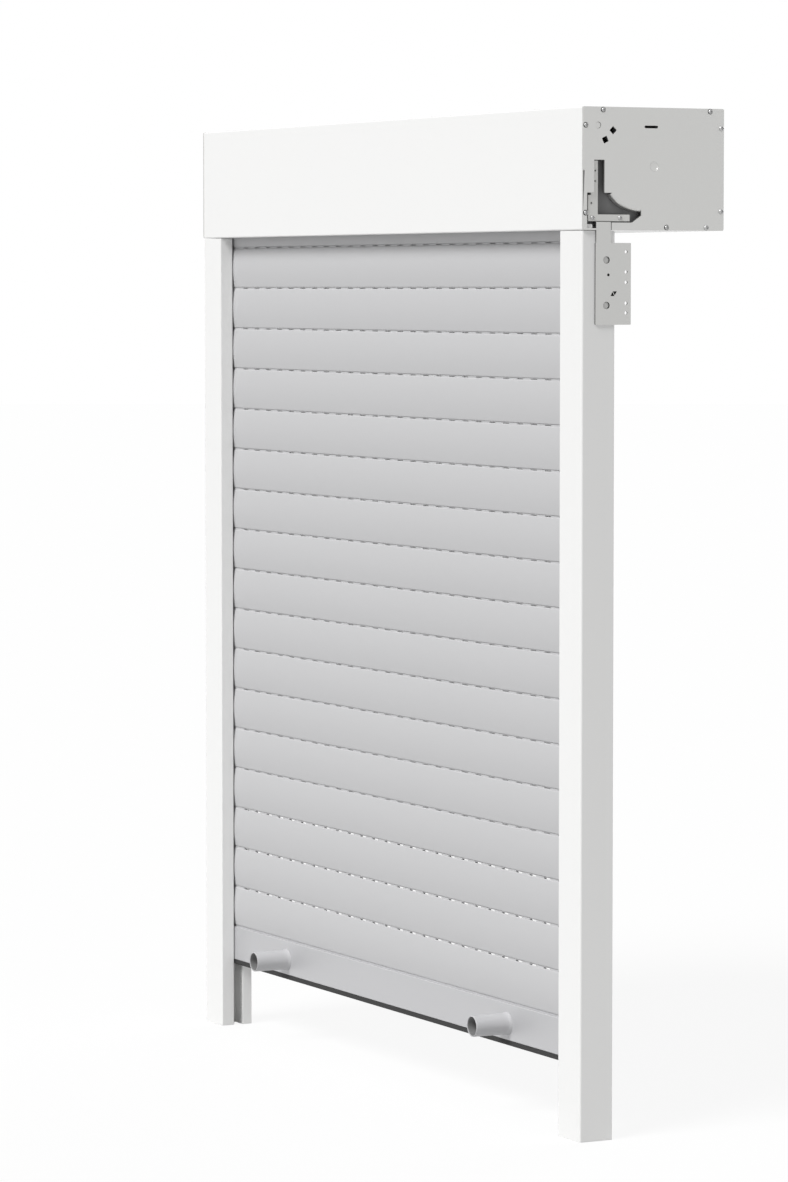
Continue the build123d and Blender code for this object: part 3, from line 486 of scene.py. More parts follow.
def finish(
    name, colour, roughness, metallic=0.0, mottle=0.03, mottle_size=0.03, bump=0.00002, grain=0.0008,
    stretch=(1, 1, 1), spangle=0.0, spangle_size=0.006,
):
    """Procedural finish on Object coordinates.

    Colour is multiplied by 1 +- mottle from a soft noise, and by 1 +- spangle from the cells of a
    crystal pattern. Roughness wanders a little with the same noise. A fine noise of the size of
    grain is the bump, and stretch draws both noises out along an axis, as on drawn metal.
    """
    material = bpy.data.materials.get(name)
    if material:
        return material
    material = bpy.data.materials.new(name)
    material.use_nodes = True
    nodes, links = material.node_tree.nodes, material.node_tree.links
    shader = nodes["Principled BSDF"]
    shader.inputs["Metallic"].default_value = metallic
    place = nodes.new("ShaderNodeTexCoord")
    mapping = nodes.new("ShaderNodeMapping")
    mapping.inputs["Scale"].default_value = stretch
    links.new(place.outputs["Object"], mapping.inputs["Vector"])

    def noise(size, detail):
        node = nodes.new("ShaderNodeTexNoise")
        node.inputs["Scale"].default_value = 1 / size
        node.inputs["Detail"].default_value = detail
        links.new(mapping.outputs["Vector"], node.inputs["Vector"])
        return node.outputs["Fac"]

    def spread(value, low, high):
        node = nodes.new("ShaderNodeMapRange")
        node.inputs["From Min"].default_value = 0.3
        node.inputs["From Max"].default_value = 0.7
        node.inputs["To Min"].default_value = low
        node.inputs["To Max"].default_value = high
        links.new(value, node.inputs["Value"])
        return node.outputs["Result"]

    soft = noise(mottle_size, 4)
    shade = spread(soft, 1 - mottle, 1 + mottle)
    if spangle:
        cells = nodes.new("ShaderNodeTexVoronoi")
        cells.inputs["Scale"].default_value = 1 / spangle_size
        links.new(place.outputs["Object"], cells.inputs["Vector"])
        grey = nodes.new("ShaderNodeRGBToBW")
        links.new(cells.outputs["Color"], grey.inputs["Color"])
        both = nodes.new("ShaderNodeMath")
        both.operation = "MULTIPLY"
        links.new(shade, both.inputs[0])
        links.new(spread(grey.outputs["Val"], 1 - spangle, 1 + spangle), both.inputs[1])
        shade = both.outputs["Value"]
    tint = nodes.new("ShaderNodeVectorMath")
    tint.operation = "SCALE"
    tint.inputs[0].default_value = tuple(colour)[:3]
    links.new(shade, tint.inputs["Scale"])
    links.new(tint.outputs["Vector"], shader.inputs["Base Color"])
    links.new(spread(soft, roughness * 0.9, min(1.0, roughness * 1.1)), shader.inputs["Roughness"])
    relief = nodes.new("ShaderNodeBump")
    relief.inputs["Distance"].default_value = bump
    relief.inputs["Strength"].default_value = 1.0
    links.new(noise(grain, 2), relief.inputs["Height"])
    links.new(relief.outputs["Normal"], shader.inputs["Normal"])
    return material


def finishes():
    """Every finish by name: the record's slots, and those of the faces that differ within a slot."""
    c = bpy.context.scene.shutter_colours
    drawn = (0.05, 1, 1)
    pile = dict(mottle_size=0.0015, bump=0.0003, grain=0.0006, stretch=(0.1, 0.1, 1))
    fine = dict(mottle=0.03, mottle_size=0.004)
    table = {
        "white_profile": (c.white, 0.42, 0, dict(mottle=0.008, bump=0.00001, grain=0.0012)),
        "white_foot": (c.white, 0.5, 0, dict(mottle=0.01, bump=0.00001, grain=0.0009)),
        "galvanised_sheet": (
            c.sheet, 0.5, 0.25, dict(mottle=0.02, spangle=0.02, bump=0.000008, grain=0.002)
        ),
        "bracket_steel": (
            (0.96, 0.96, 0.94), 0.45, 0.22, dict(mottle=0.02, spangle=0.02, bump=0.00001, grain=0.0015)
        ),
        "anchor_steel": ((0.68, 0.68, 0.66), 0.45, 0.25, dict(mottle=0.03, bump=0.00001, grain=0.0015)),
        # Painted shade: near-black on the bracket's front-facing edges and on the sheets behind its small
        # holes
        "painted_shade_edge": ((0.04, 0.04, 0.04), 0.7, 0.1, {}),
        "bore_shade": ((0.26, 0.26, 0.26), 0.8, 0, {}),
        # Painted shade: the rivets are darker and less metallic than the screws, standing in for the shade
        # in their holes
        "rivet_painted_shade": ((0.5, 0.5, 0.49), 0.4, 0.4, fine),
        "screw_steel": ((0.78, 0.78, 0.76), 0.35, 0.5, fine),
        "shaft_steel": ((0.6, 0.6, 0.6), 0.4, 0.8, dict(spangle=0.05, stretch=drawn)),
        "spring_steel": ((0.3, 0.32, 0.35), 0.3, 0.9, dict(stretch=(1, 1, 0.1))),
        "slat_grey": (
            c.slat, 0.5, 0,
            dict(mottle=0.014, mottle_size=0.006, bump=0.000002, grain=0.0014, stretch=drawn),
        ),
        "bar_grey": (c.slat, 0.45, 0, dict(mottle=0.006, bump=0.000002, grain=0.0014, stretch=drawn)),
        "stopper_grey": ((0.88, 0.88, 0.88), 0.5, 0, dict(mottle=0.01, bump=0.00001, grain=0.0008)),
        "seal_rubber": (c.rubber, 0.7, 0, dict(mottle=0.15, bump=0.00003, grain=0.0006, stretch=drawn)),
        "brush_dark": ((0.05, 0.05, 0.05), 0.95, 0, dict(mottle=0.4, **pile)),
        # Painted light: the rails' brushes are paler than the mouth's dark brush, standing in for light in
        # their shaded slots
        "rail_brush_painted_light": ((0.5, 0.5, 0.5), 0.95, 0, dict(mottle=0.2, **pile)),
        # Painted light: the funnels are paler than their own grey, standing in for light in the recess
        # behind the plates' windows
        "funnel_grey": ((0.8, 0.81, 0.8), 0.55, 0, dict(mottle=0.05)),
        "gear_plastic": (c.dark_plastic, 0.6, 0, dict(mottle=0.1, bump=0.00004)),
        "glider_black": (c.dark_plastic, 0.5, 0, dict(mottle=0.1)),
        "motor_tube": ((0.6, 0.61, 0.62), 0.35, 0.7, dict(stretch=drawn)),
        "nylon": ((0.8, 0.8, 0.76), 0.45, 0, dict(mottle=0.02)),
    }
    return {
        name: finish(name, colour, roughness, metallic, **more)
        for name, (colour, roughness, metallic, more) in table.items()
    }


# Frame nodes that keep their own shape, by slot
KEPT_NODES = {
    "brush_dark": ("mouth_seal", "rail_seals_left", "rail_seals_right"),
    # The funnels' finish is painted light, paler than their own grey
    "funnel_grey": ("inlet_funnel_left", "inlet_funnel_right"),
    "shaft_steel": ("octagonal_shaft",),
    "gear_plastic": (
        "motor_bracket", "motor_head", "drive_wheel", "drive_crown", "idler_cap", "bearing_bracket",
    ),
    "motor_tube": ("tube_motor",),
    "screw_steel": ("output_spindle", "idler_pin"),
    "nylon": ("shaft_bearing",),
    "spring_steel": ("hanger_straps",),
    "glider_black": ("bar_gliders",),
}
# The rails' brushes are painted paler than the one at the mouth: painted light in their shaded slots
KEPT_LOOKS = {"rail_seals_left": "rail_brush_painted_light", "rail_seals_right": "rail_brush_painted_light"}


class SHUTTER_OT_winding_gear(bpy.types.Operator):
    """Give the hidden winding gear, brushes and gliders their finishes"""

    bl_idname = "shutter.winding_gear"
    bl_label = "Winding gear"

    def execute(self, context):
        looks = finishes()
        for slot, names in KEPT_NODES.items():
            for name in names:
                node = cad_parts[name]
                node.data.materials.clear()
                node.data.materials.append(looks[KEPT_LOOKS.get(name, slot)])
        return {"FINISHED"}


def chambers(first, last, skin, upright):
    """Hollow chambers of a panel, one after the other from first to last.

    skin is the panel's lower or front face. An upright panel's chambers follow each other along Z,
    a level one's along Y.
    """
    size = (last - first - (CHAMBER_COUNT + 1) * PANEL_WALL) / CHAMBER_COUNT
    starts = first + PANEL_WALL + np.arange(CHAMBER_COUNT) * (size + PANEL_WALL)
    low, high = skin + PANEL_WALL, skin + PANEL_THICKNESS - PANEL_WALL
    if upright:
        return [rectangle(low, start, high, start + size) for start in starts]
    return [rectangle(start, low, start + size, high) for start in starts]


class SHUTTER_OT_headbox_panels(bpy.types.Operator):
    """Build the four hollow panels of the headbox"""

    bl_idname = "shutter.headbox_panels"
    bl_label = "Headbox panels"

    def execute(self, context):
        corner = context.scene.shutter_sizes.panel_corner * 1000
        low, high = in_mm(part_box("front_panel"))
        y, z0, z1 = low[1], low[2], high[2]
        rear = y + BOX_DEPTH
        t, joint, mouth = PANEL_THICKNESS, PANEL_JOINT_ROUND, MOUTH_REAR_ROUND
        front = [
            (y, z0), (y + MOUTH_LIP, z0), (y + MOUTH_LIP, z0 + t), (y + t, z0 + t), (y + t, z1), (y, z1),
        ]
        front_radii = (corner, MOUTH_LIP_ROUND, MOUTH_LIP_ROUND, MOUTH_LIP_FILLET, joint, corner)
        panels = {
            "front": (rounded(front, front_radii), chambers(z0 + t, z1, y, True)),
            "rear": (
                rounded(rectangle(rear - t, z0, rear, z1), (joint, corner, corner, joint)),
                chambers(z0, z1, rear - t, True),
            ),
            "top": (
                rounded(rectangle(y + t, z1 - t, rear - t, z1), joint),
                chambers(y + t, rear - t, z1 - t, False),
            ),
            "bottom": (
                rounded(rectangle(WINDOW_FACE_Y, z0, rear - t, z0 + t), (mouth, joint, joint, mouth)),
                chambers(WINDOW_FACE_Y, rear - t, z0, False),
            ),
        }
        for name, (outline, holes) in panels.items():
            part = prism("X", mm(outline), *mm((-high[0], high[0])), [mm(hole) for hole in holes])
            add_piece(f"box_{name}_panel", part, "casing", "white_profile", [f"{name}_panel"])
        return {"FINISHED"}


def on_plate(places):
    """Places from a plate's front and lower edges into Y and Z, in millimetres."""
    return np.asarray(places, float) + in_mm(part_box("end_plate_right"))[0][1:]


def roll_arc():
    """Curved edge of the roll window, from a plate's front and lower edges.

    It is the parabola (1 - s)^2 p0 + 2 s (1 - s) bend + s^2 p2, whose bend 2 p1 - (p0 + p2) / 2 puts
    the middle point p1 at s = 1/2.
    """
    s = np.linspace(0, 1, 12)[:, None]
    p0, p1, p2 = np.array(ROLL_ARC)
    bend = 2 * p1 - 0.5 * (p0 + p2)
    return (1 - s) ** 2 * p0 + 2 * s * (1 - s) * bend + s**2 * p2


def plate_outline(corner):
    """Edge of an end plate, with the opening for bracket, anchor and roll that reaches its lower edge."""
    front, rear, low, high = ANCHOR_WINDOW
    slot_front, slot_rear, slot_top = ANCHOR_SLOT
    arc = roll_arc()
    before = [
        (0, 0), (NOTCH_FRONT, 0), (NOTCH_FRONT, low), (front, low), (front, high), (slot_front, high),
        (slot_front, slot_top), (slot_rear, slot_top), (slot_rear, high),
    ]
    after = [
        ROLL_HEEL, ROLL_TOE, (NOTCH_REAR, ROLL_TOE[1]), (NOTCH_REAR, 0), (BOX_DEPTH, 0),
        (BOX_DEPTH, BOX_HEIGHT), (0, BOX_HEIGHT),
    ]
    points = np.concatenate([before, arc, after])
    radii = np.full(len(points), PLATE_ROUND)
    radii[len(before):len(before) + len(arc)] = 0
    radii[[0, -3, -2, -1]] = corner
    return rounded(points, radii, 4)


class SHUTTER_OT_end_plates(bpy.types.Operator):
    """Build the sheet metal end plates with their openings and marks"""

    bl_idname = "shutter.end_plates"
    bl_label = "End plates"

    def execute(self, context):
        sizes = context.scene.shutter_sizes
        low, high = in_mm(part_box("end_plate_right"))
        slot_y, slot_z, slot_length, slot_width = LEVEL_SLOT
        half_slot = np.array((slot_length, slot_width)) / 2
        slot_low, slot_high = (slot_y, slot_z) - half_slot, (slot_y, slot_z) + half_slot
        holes = [regular(place, GAP_RADIUS, 24) for place in SCREW_PLACES[:GAPPED_SCREWS]]
        holes += [regular(place, SCREW_HOLE, 12) for place in SCREW_PLACES[GAPPED_SCREWS:]]
        holes += [regular(AXIS_PLACE, DIMPLE_RADIUS, 28), regular(PLUG_PLACE, PLUG_RADIUS, 28)]
        corner = SQUARE_HOLE_SIZE / math.sqrt(2)
        squares = [regular((y, z), corner, 4, turn + 45) for y, z, turn in SQUARE_HOLES]
        holes += [rounded(square, SQUARE_HOLE_ROUND, 3) for square in squares]
        holes += [rounded(rectangle(*slot_low, *slot_high), slot_width * LEVEL_SLOT_ROUND, 7)]
        outline = on_plate(plate_outline(sizes.panel_corner * 1000))
        sheet = prism("X", mm(outline), *mm((low[0], high[0])), [mm(on_plate(hole)) for hole in holes])
        plug = turned("X", mm((low[0], *on_plate(PLUG_PLACE))), mm(PLUG_PROFILE))
        dish = turned("X", mm((low[0], *on_plate(AXIS_PLACE))), mm(DIMPLE_PROFILE))
        # The window's curved edge turns inwards
        lip = swept(mm(on_plate(roll_arc())), mm(np.add(ROLL_LIP, (0, high[0]))))
        for name, side in SIDES.items():
            part = mirrored(joined(sheet, plug, dish, lip), side)
            add_piece(
                f"side_sheet_{name}", part, "casing", "galvanised_sheet", [f"end_plate_{name}"],
                bevel=sizes.sheet_bevel,
            )
        return {"FINISHED"}


def pan_head(radius, height, recess):
    """Profile and cross of a pan head: a flat underside, a short straight edge and a dome.

    The edge takes 0.45 of the height, and the dome falls from the full height with the fourth power
    of the distance from its axis. The cross is 0.6 of the height deep and reaches 0.62 of the radius.
    """
    edge = height * 0.45
    share = np.linspace(0.96, 0.08, 12)
    dome = np.stack([radius * share, edge + (height - edge) * (1 - share**4)], 1)
    profile = np.concatenate([[(0, 0), (radius, 0), (radius, edge)], dome, [(0, height)]])
    return profile, (recess, height * 0.6, radius * 0.62)


class SHUTTER_OT_screws(bpy.types.Operator):
    """Build the pan heads of the end plates', anchors' and stoppers' screws"""

    bl_idname = "shutter.screws"
    bl_label = "Screws"

    def execute(self, context):
        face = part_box("end_plate_right")[1].x
        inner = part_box("box_anchor_right")[1].x
        shank = regular((0, 0), SHANK_RADIUS, 12)
        shank_low, shank_high = face - mm(SHANK_LENGTH), face + mm(SHANK_OVERLAP)
        heads = []
        for index, place in enumerate(on_plate(SCREW_PLACES)):
            profile, cross = pan_head(*(GAPPED_HEAD if index < GAPPED_SCREWS else FULL_HEAD))
            heads.append(turned("X", (face, *mm(place)), mm(profile), 40, mm(cross)))
            heads.append(prism("X", mm(shank + place), shank_low, shank_high))
        add_piece("plate_screw_heads", on_both_sides(heads), "casing", "screw_steel", ["end_plate_screws"])
        profile, cross = pan_head(*ANCHOR_HEAD)
        heads = [turned("X", (inner, *mm(place)), mm(profile), 40, mm(cross)) for place in ANCHOR_SCREWS]
        add_piece("anchor_screw_heads", on_both_sides(heads), "casing", "screw_steel", ["anchor_screws"])
        # The stoppers' heads stand towards their mouths, so their heights count against Y
        outwards = pan_head(*STOPPER_HEAD)[0] * (1, -1)
        seat = SLAT_FRONT - STOPPER_FLOOR
        ends = mm((seat - SHANK_OVERLAP, in_mm(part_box("stopper_screws"))[1][1]))
        seats = []
        for x in STOPPER_PLACES:
            seats.append(turned("Y", mm((x, seat, STOPPER_Z)), mm(outwards), 32))
            seats.append(prism("Y", mm(regular((x, STOPPER_Z), STOPPER_SHANK, 14)), *ends))
        add_piece("stopper_screw_heads", joined(*seats), "curtain_bar", "screw_steel", ["stopper_screws"])
        return {"FINISHED"}


def rail_outline(corner, groove):
    """Section of the right guide rail in X and Y: a rectangle with the slot open to the curtain.

    With groove the slot's two walls also hold the roots of the brush strips.
    """
    x0, y0 = in_mm(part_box("guide_rail_right"))[0][:2]
    x1, y1 = x0 + RAIL_WIDTH, y0 + RAIL_DEPTH
    front, rear, end = y0 + SLOT_FRONT_WALL, y0 + SLOT_FRONT_WALL + SLOT_WIDTH, x0 + SLOT_DEPTH
    g0, g1 = x0 + SEAL_SET_BACK, x0 + SEAL_SET_BACK + SEAL_WIDTH
    slot_front = [(x0, front)]
    slot_rear = [(x0, rear)]
    if groove:
        slot_front += [(g0, front), (g0, front - SEAL_ROOT), (g1, front - SEAL_ROOT), (g1, front)]
        slot_rear += [(g0, rear), (g0, rear + SEAL_ROOT), (g1, rear + SEAL_ROOT), (g1, rear)]
    points = [
        (x0, y0), (x1, y0), (x1, y1), (x0, y1), *slot_rear, (end, rear), (end, front), *slot_front[::-1],
    ]
    groove_radii = [GROOVE_ROUND] * (len(slot_rear) - 1)
    radii = [
        corner / 2, corner, RAIL_REAR_ROUND, RAIL_REAR_ROUND, SLOT_MOUTH_ROUND, *groove_radii,
        SLOT_END_ROUND, SLOT_END_ROUND, *groove_radii, SLOT_MOUTH_ROUND,
    ]
    return rounded(points, radii)


def rail_chambers():
    """The three hollows of the rail's section: front, rear and outer."""
    x0, y0 = in_mm(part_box("guide_rail_right"))[0][:2]
    x1, y1, w = x0 + RAIL_WIDTH, y0 + RAIL_DEPTH, RAIL_WALL
    front, rear = y0 + SLOT_FRONT_WALL, y0 + SLOT_FRONT_WALL + SLOT_WIDTH
    return [
        rectangle(x0 + w, y0 + w, x1 - w, front - w),
        rectangle(x0 + w, rear + w, x1 - w, y1 - w),
        rectangle(x0 + SLOT_DEPTH + w, front, x1 - w, rear),
    ]


class SHUTTER_OT_guide_rails(bpy.types.Operator):
    """Build the guide rails and the feet that close them"""

    bl_idname = "shutter.guide_rails"
    bl_label = "Guide rails"

    def execute(self, context):
        corner = context.scene.shutter_sizes.rail_corner * 1000
        low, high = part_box("guide_rail_right")
        hollow = [mm(hole) for hole in rail_chambers()]
        profile = prism("Z", mm(rail_outline(corner, True)), low.z, high.z - mm(RAIL_TOP_GAP), hollow)
        foot = prism("Z", mm(rail_outline(corner, False)), 0.0, low.z)
        for name, side in SIDES.items():
            rail, end = mirrored(profile, side), mirrored(foot, side)
            add_piece(f"rail_profile_{name}", rail, "casing", "white_profile", [f"guide_rail_{name}"])
            add_piece(f"rail_end_{name}", end, "casing", "white_foot", [f"rail_foot_{name}"])
        return {"FINISHED"}


class SHUTTER_OT_brackets(bpy.types.Operator):
    """Build the steel brackets, their rivets and the anchors that their tongues hook under"""

    bl_idname = "shutter.brackets"
    bl_label = "Brackets and anchors"

    def execute(self, context):
        bevel = context.scene.shutter_sizes.sheet_bevel
        low, high = in_mm(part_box("rail_bracket_right"))
        inner = low[0] + HOOK_REACH
        holes = [regular(place, RIVET_HOLE, 28) for place in RIVET_PLACES]
        holes += [regular(PILOT_HOLE[:2], PILOT_HOLE[2], 16)]
        holes += [regular((y, z), NOTCH_SIZE, 3, turn) for y, z, turn in NOTCHES]
        holes += [regular(place, WINDOW_HOLE, 20) for place in WINDOW_HOLES]
        (tongue_rear, top), (tongue_front, _) = BRACKET_OUTLINE[4:6]
        straight = np.minimum(BRACKET_OUTLINE, (np.inf, top - HOOK_DROP))
        edge = rounded(straight, BRACKET_RADII, 4)
        plate = prism("X", mm(edge), *mm((inner, high[0])), [mm(hole) for hole in holes])
        # The tongue's end is bent inwards over the anchor
        bend = [
            (inner, top - HOOK_DROP), (high[0], top - HOOK_DROP), (high[0], top),
            (low[0], top), (low[0], top - HOOK_THICKNESS), (inner, top - HOOK_THICKNESS),
        ]
        hook = prism("Y", mm(rounded(bend, HOOK_RADII, 7)), *mm((tongue_front, tongue_rear)))
        rivets = [turned("X", mm((inner, *place)), mm(RIVET_PROFILE), 28) for place in RIVET_PLACES]
        anchor_low, anchor_high = (corner.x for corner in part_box("box_anchor_right"))
        strip_edge = rounded(ANCHOR_OUTLINE, ANCHOR_ROUND, 3)
        strip_holes = [mm(regular(place, ANCHOR_HOLE, 14)) for place in ANCHOR_HOLES]
        strip = prism("X", mm(strip_edge), anchor_low, anchor_high, strip_holes)
        # Painted shade: a near-black sheet lies behind the small holes, so that they are dark inside
        shade_sheet_face = inner + SHADE_SHEET_THICKNESS
        shade_sheets = []
        for y, z, r in ((*PILOT_HOLE[:2], PILOT_SHADE_SHEET), *((y, z, NOTCH_SHADE_SHEET) for y, z, _ in NOTCHES)):
            square = rounded(rectangle(y - r, z - r, y + r, z + r), SHADE_SHEET_ROUND, 3)
            shade_sheets.append(prism("X", mm(square), *mm((inner, shade_sheet_face))))

        def dark(centres, normals):
            """Painted shade: the cut edges that face the front, and the dark sheets behind the small holes.
            """
            on_shade_sheet = np.abs(np.abs(centres[:, 0]) - mm(shade_sheet_face)) < mm(FACE_TOLERANCE)
            return (normals[:, 1] < FRONT_FACING) | on_shade_sheet

        for name, side in SIDES.items():
            part = mirrored(joined(plate, hook, *shade_sheets), side)
            piece = add_piece(
                f"bracket_plate_{name}", part, "casing", "bracket_steel", [f"rail_bracket_{name}"],
                bevel=bevel,
            )
            # The front-facing cut edges and the sheets behind the small holes get the painted shade
            paint_shade(piece, "painted_shade_edge", dark)
            add_piece(
                f"anchor_strip_{name}", mirrored(strip, side), "casing", "bracket_steel",
                [f"box_anchor_{name}"], "anchor_steel", bevel,
            )
        rivets = on_both_sides(rivets)
        # The rivet heads take the painted shade look, darker than the screws' steel
        add_piece("rivet_heads", rivets, "casing", "screw_steel", ["bracket_rivets"], "rivet_painted_shade")
        return {"FINISHED"}


def slat_section(bottom, edge, skirt):
    """Section of a slat in Y and Z: one strip round the hollow, open at the slit below.

    The front is a parabola between the two edges, y = edge - bow * (1 - (2t - 1)^2). The top falls
    towards the rear. The rear wall hangs below the body by skirt, which hides the light slots of
    the next slat from views above a certain height.
    """
    t = np.linspace(0, 1, 25)[1:-1]
    bow = SLAT_REAR - SLAT_EDGE_DEPTH - SLAT_FRONT
    top, wall = bottom + SLAT_HEIGHT, SLAT_WALL
    edge_y = SLAT_REAR - SLAT_EDGE_DEPTH
    y = edge_y - bow * (1 - (2 * t - 1) ** 2)
    rear_top, inner_rear = top - SLAT_TOP_FALL, SLAT_REAR - SLAT_WALL
    outer_front = np.stack([y, top - t * SLAT_HEIGHT], 1)
    inner_front = np.stack([y + wall, top - wall - t * (SLAT_HEIGHT - 2 * wall)], 1)[::-1]
    slit_front, slit_rear = TONGUE_Y - TONGUE_SLIT / 2, TONGUE_Y + TONGUE_SLIT / 2
    points = np.concatenate([
        [(slit_rear, bottom), (inner_rear, bottom), (inner_rear, bottom - skirt),
         (SLAT_REAR, bottom - skirt), (SLAT_REAR, rear_top), (edge_y, top)],
        outer_front,
        [(edge_y, bottom), (slit_front, bottom), (slit_front, bottom + wall),
         (edge_y + wall, bottom + wall)],
        inner_front,
        [(edge_y + wall, top - wall), (inner_rear, rear_top - wall), (inner_rear, bottom + wall),
         (slit_rear, bottom + wall)],
    ])
    radii = np.zeros(len(points))
    radii[[2, 3]] = SKIRT_ROUND
    radii[4] = SLAT_REAR_ROUND
    radii[[5, 6 + len(t)]] = edge
    return rounded(points, radii)


def tongue(top, half_length, web_low, slot_low, notch_low=None):
    """Tongue above a slat or the bar: a web with its row of light slots, and a head that hooks in.

    A shoulder closes the joint in front of the web. It is notched in front of the slots, from
    notch_low up, unless that is None.
    """
    middles = (np.arange(LIGHT_SLOT_COUNT) - (LIGHT_SLOT_COUNT - 1) / 2) * LIGHT_SLOT_PITCH

    def row(half, low, high, radius, steps):
        """One opening in front of every light slot, in metres."""
        edges = [rectangle(x - half, top + low, x + half, top + high) for x in middles]
        return [mm(rounded(edge, radius, steps)) for edge in edges]

    slots = row(LIGHT_SLOT_PITCH / 4, slot_low, LIGHT_SLOT_HIGH, LIGHT_SLOT_ROUND, 4)
    web_edge = rectangle(-half_length, top + web_low, half_length, top + WEB_END)
    web = prism("Y", mm(web_edge), *mm((TONGUE_Y - TONGUE_HALF, TONGUE_Y + TONGUE_HALF)), slots)
    notches = []
    if notch_low is not None:
        notches = row(GAP_NOTCH_HALF, notch_low, GAP_NOTCH_HIGH, GAP_NOTCH_ROUND, 3)
    shoulder_edge = rectangle(-half_length, top + SHOULDER_LOW, half_length, top + SHOULDER_HIGH)
    shoulder = prism("Y", mm(shoulder_edge), *mm((SHOULDER_FRONT, SHOULDER_REAR)), notches)
    end = top + TONGUE_HEIGHT
    head_edge = rectangle(TONGUE_Y - HOOK_HALF, end - HOOK_HEIGHT, TONGUE_Y + HOOK_HALF, end)
    head = prism("X", mm(rounded(head_edge, HOOK_ROUND, 3)), *mm((-half_length, half_length)))
    return joined(web, shoulder, head)


class SHUTTER_OT_slats(bpy.types.Operator):
    """Build the hooked slats of the curtain, each on its own body"""

    bl_idname = "shutter.slats"
    bl_label = "Slats"

    def execute(self, context):
        sizes = context.scene.shutter_sizes
        half_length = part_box("slat_01")[1].x
        tongue_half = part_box("bottom_bar")[1].x * 1000
        for number in range(1, SLAT_COUNT + 1):
            bottom = SLAT_BASE + number * SLAT_PITCH
            skirt = SKIRT_DEPTH
            if number <= OPEN_SLATS:
                skirt = OPEN_SKIRT_DEPTH if number > 1 else LOWEST_SKIRT_DEPTH
            section = slat_section(bottom, sizes.slat_edge * 1000, skirt)
            body = prism("X", mm(section), -half_length, half_length)
            # A slat's tongue stands in the joint with the next one
            notch_low = OPEN_GAP_NOTCH_LOW if number < OPEN_SLATS else GAP_NOTCH_LOW
            hook = tongue(bottom + SLAT_HEIGHT, tongue_half, SLAT_WEB_LOW, SLAT_SLOT_LOW, notch_low)
            node = f"slat_{number:02d}"
            add_piece(f"curtain_{node}", joined(body, hook), node, "slat_grey", [node])
        return {"FINISHED"}


class SHUTTER_OT_bottom_bar(bpy.types.Operator):
    """Build the bottom bar and the rubber seal under it"""

    bl_idname = "shutter.bottom_bar"
    bl_label = "Bottom bar"

    def execute(self, context):
        low, high = in_mm(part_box("bottom_bar"))
        bottom, top = low[2], high[2] - TONGUE_HEIGHT
        w, front, rear = BAR_WALL, SLAT_FRONT, SLAT_REAR
        neck_front, neck_rear = CURTAIN_Y - BAR_NECK, CURTAIN_Y + BAR_NECK
        points = [
            (neck_rear, bottom), (rear, bottom), (rear, top), (front, top), (front, bottom),
            (neck_front, bottom), (neck_front, bottom + w), (front + w, bottom + w),
            (front + w, top - w), (rear - w, top - w), (rear - w, bottom + w), (neck_rear, bottom + w),
        ]
        profile = prism("X", mm(rounded(points, BAR_RADII, 6)), *mm((low[0], high[0])))
        bar = joined(profile, tongue(top, high[0], BAR_WEB_LOW, BAR_SLOT_LOW))
        add_piece("curtain_bar_profile", bar, "curtain_bar", "bar_grey", ["bottom_bar"])
        low, high = in_mm(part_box("bottom_seal"))
        base, bead = low[2], bottom + RUBBER_BEAD_LOW
        half = [
            (RUBBER_HALF, base), (RUBBER_HALF, bottom), (RUBBER_NECK, bottom), (RUBBER_NECK, bead),
            (RUBBER_BEAD, bead), (RUBBER_BEAD, high[2]),
        ]
        # The front half is the mirror image of the rear half, from the foot round to the bead
        points = [(CURTAIN_Y - half[0][0], base), *((CURTAIN_Y + y, z) for y, z in half)]
        points += [(CURTAIN_Y - y, z) for y, z in half[:0:-1]]
        section = rounded(points, RUBBER_RADII, 6)
        hollow = regular((CURTAIN_Y, base + RUBBER_BORE_HEIGHT), RUBBER_BORE, 20)
        seal = prism("X", mm(section), *mm((low[0], high[0])), [mm(hollow)])
        add_piece("bar_seal", seal, "curtain_bar", "seal_rubber", ["bottom_seal"])
        return {"FINISHED"}


class SHUTTER_OT_stoppers(bpy.types.Operator):
    """Build the two hollow stoppers on the bottom bar"""

    bl_idname = "shutter.stoppers"
    bl_label = "Stoppers"

    def execute(self, context):
        # Heights run out of the bar's front, against Y
        profile = np.array(STOPPER_PROFILE) * (1, -1)
        floor = SLAT_FRONT - STOPPER_FLOOR + STOPPER_MARGIN
        for x, name in zip(STOPPER_PLACES, SIDES):
            part = turned("Y", mm((x, SLAT_FRONT, STOPPER_Z)), mm(profile), 56)
            piece = add_piece(
                f"end_stop_{name}", part, "curtain_bar", "stopper_grey", [f"stopper_{name}"], crease=50
            )

            def bore(centres, normals, axis=mm((x, STOPPER_Z))):
                """The faces inside the bore, in front of its floor's rear."""
                off_axis = np.linalg.norm(centres[:, [0, 2]] - axis, axis=1)
                return (off_axis < mm(STOPPER_BORE)) & (centres[:, 1] < mm(floor))

            paint_shade(piece, "bore_shade", bore)
        return {"FINISHED"}


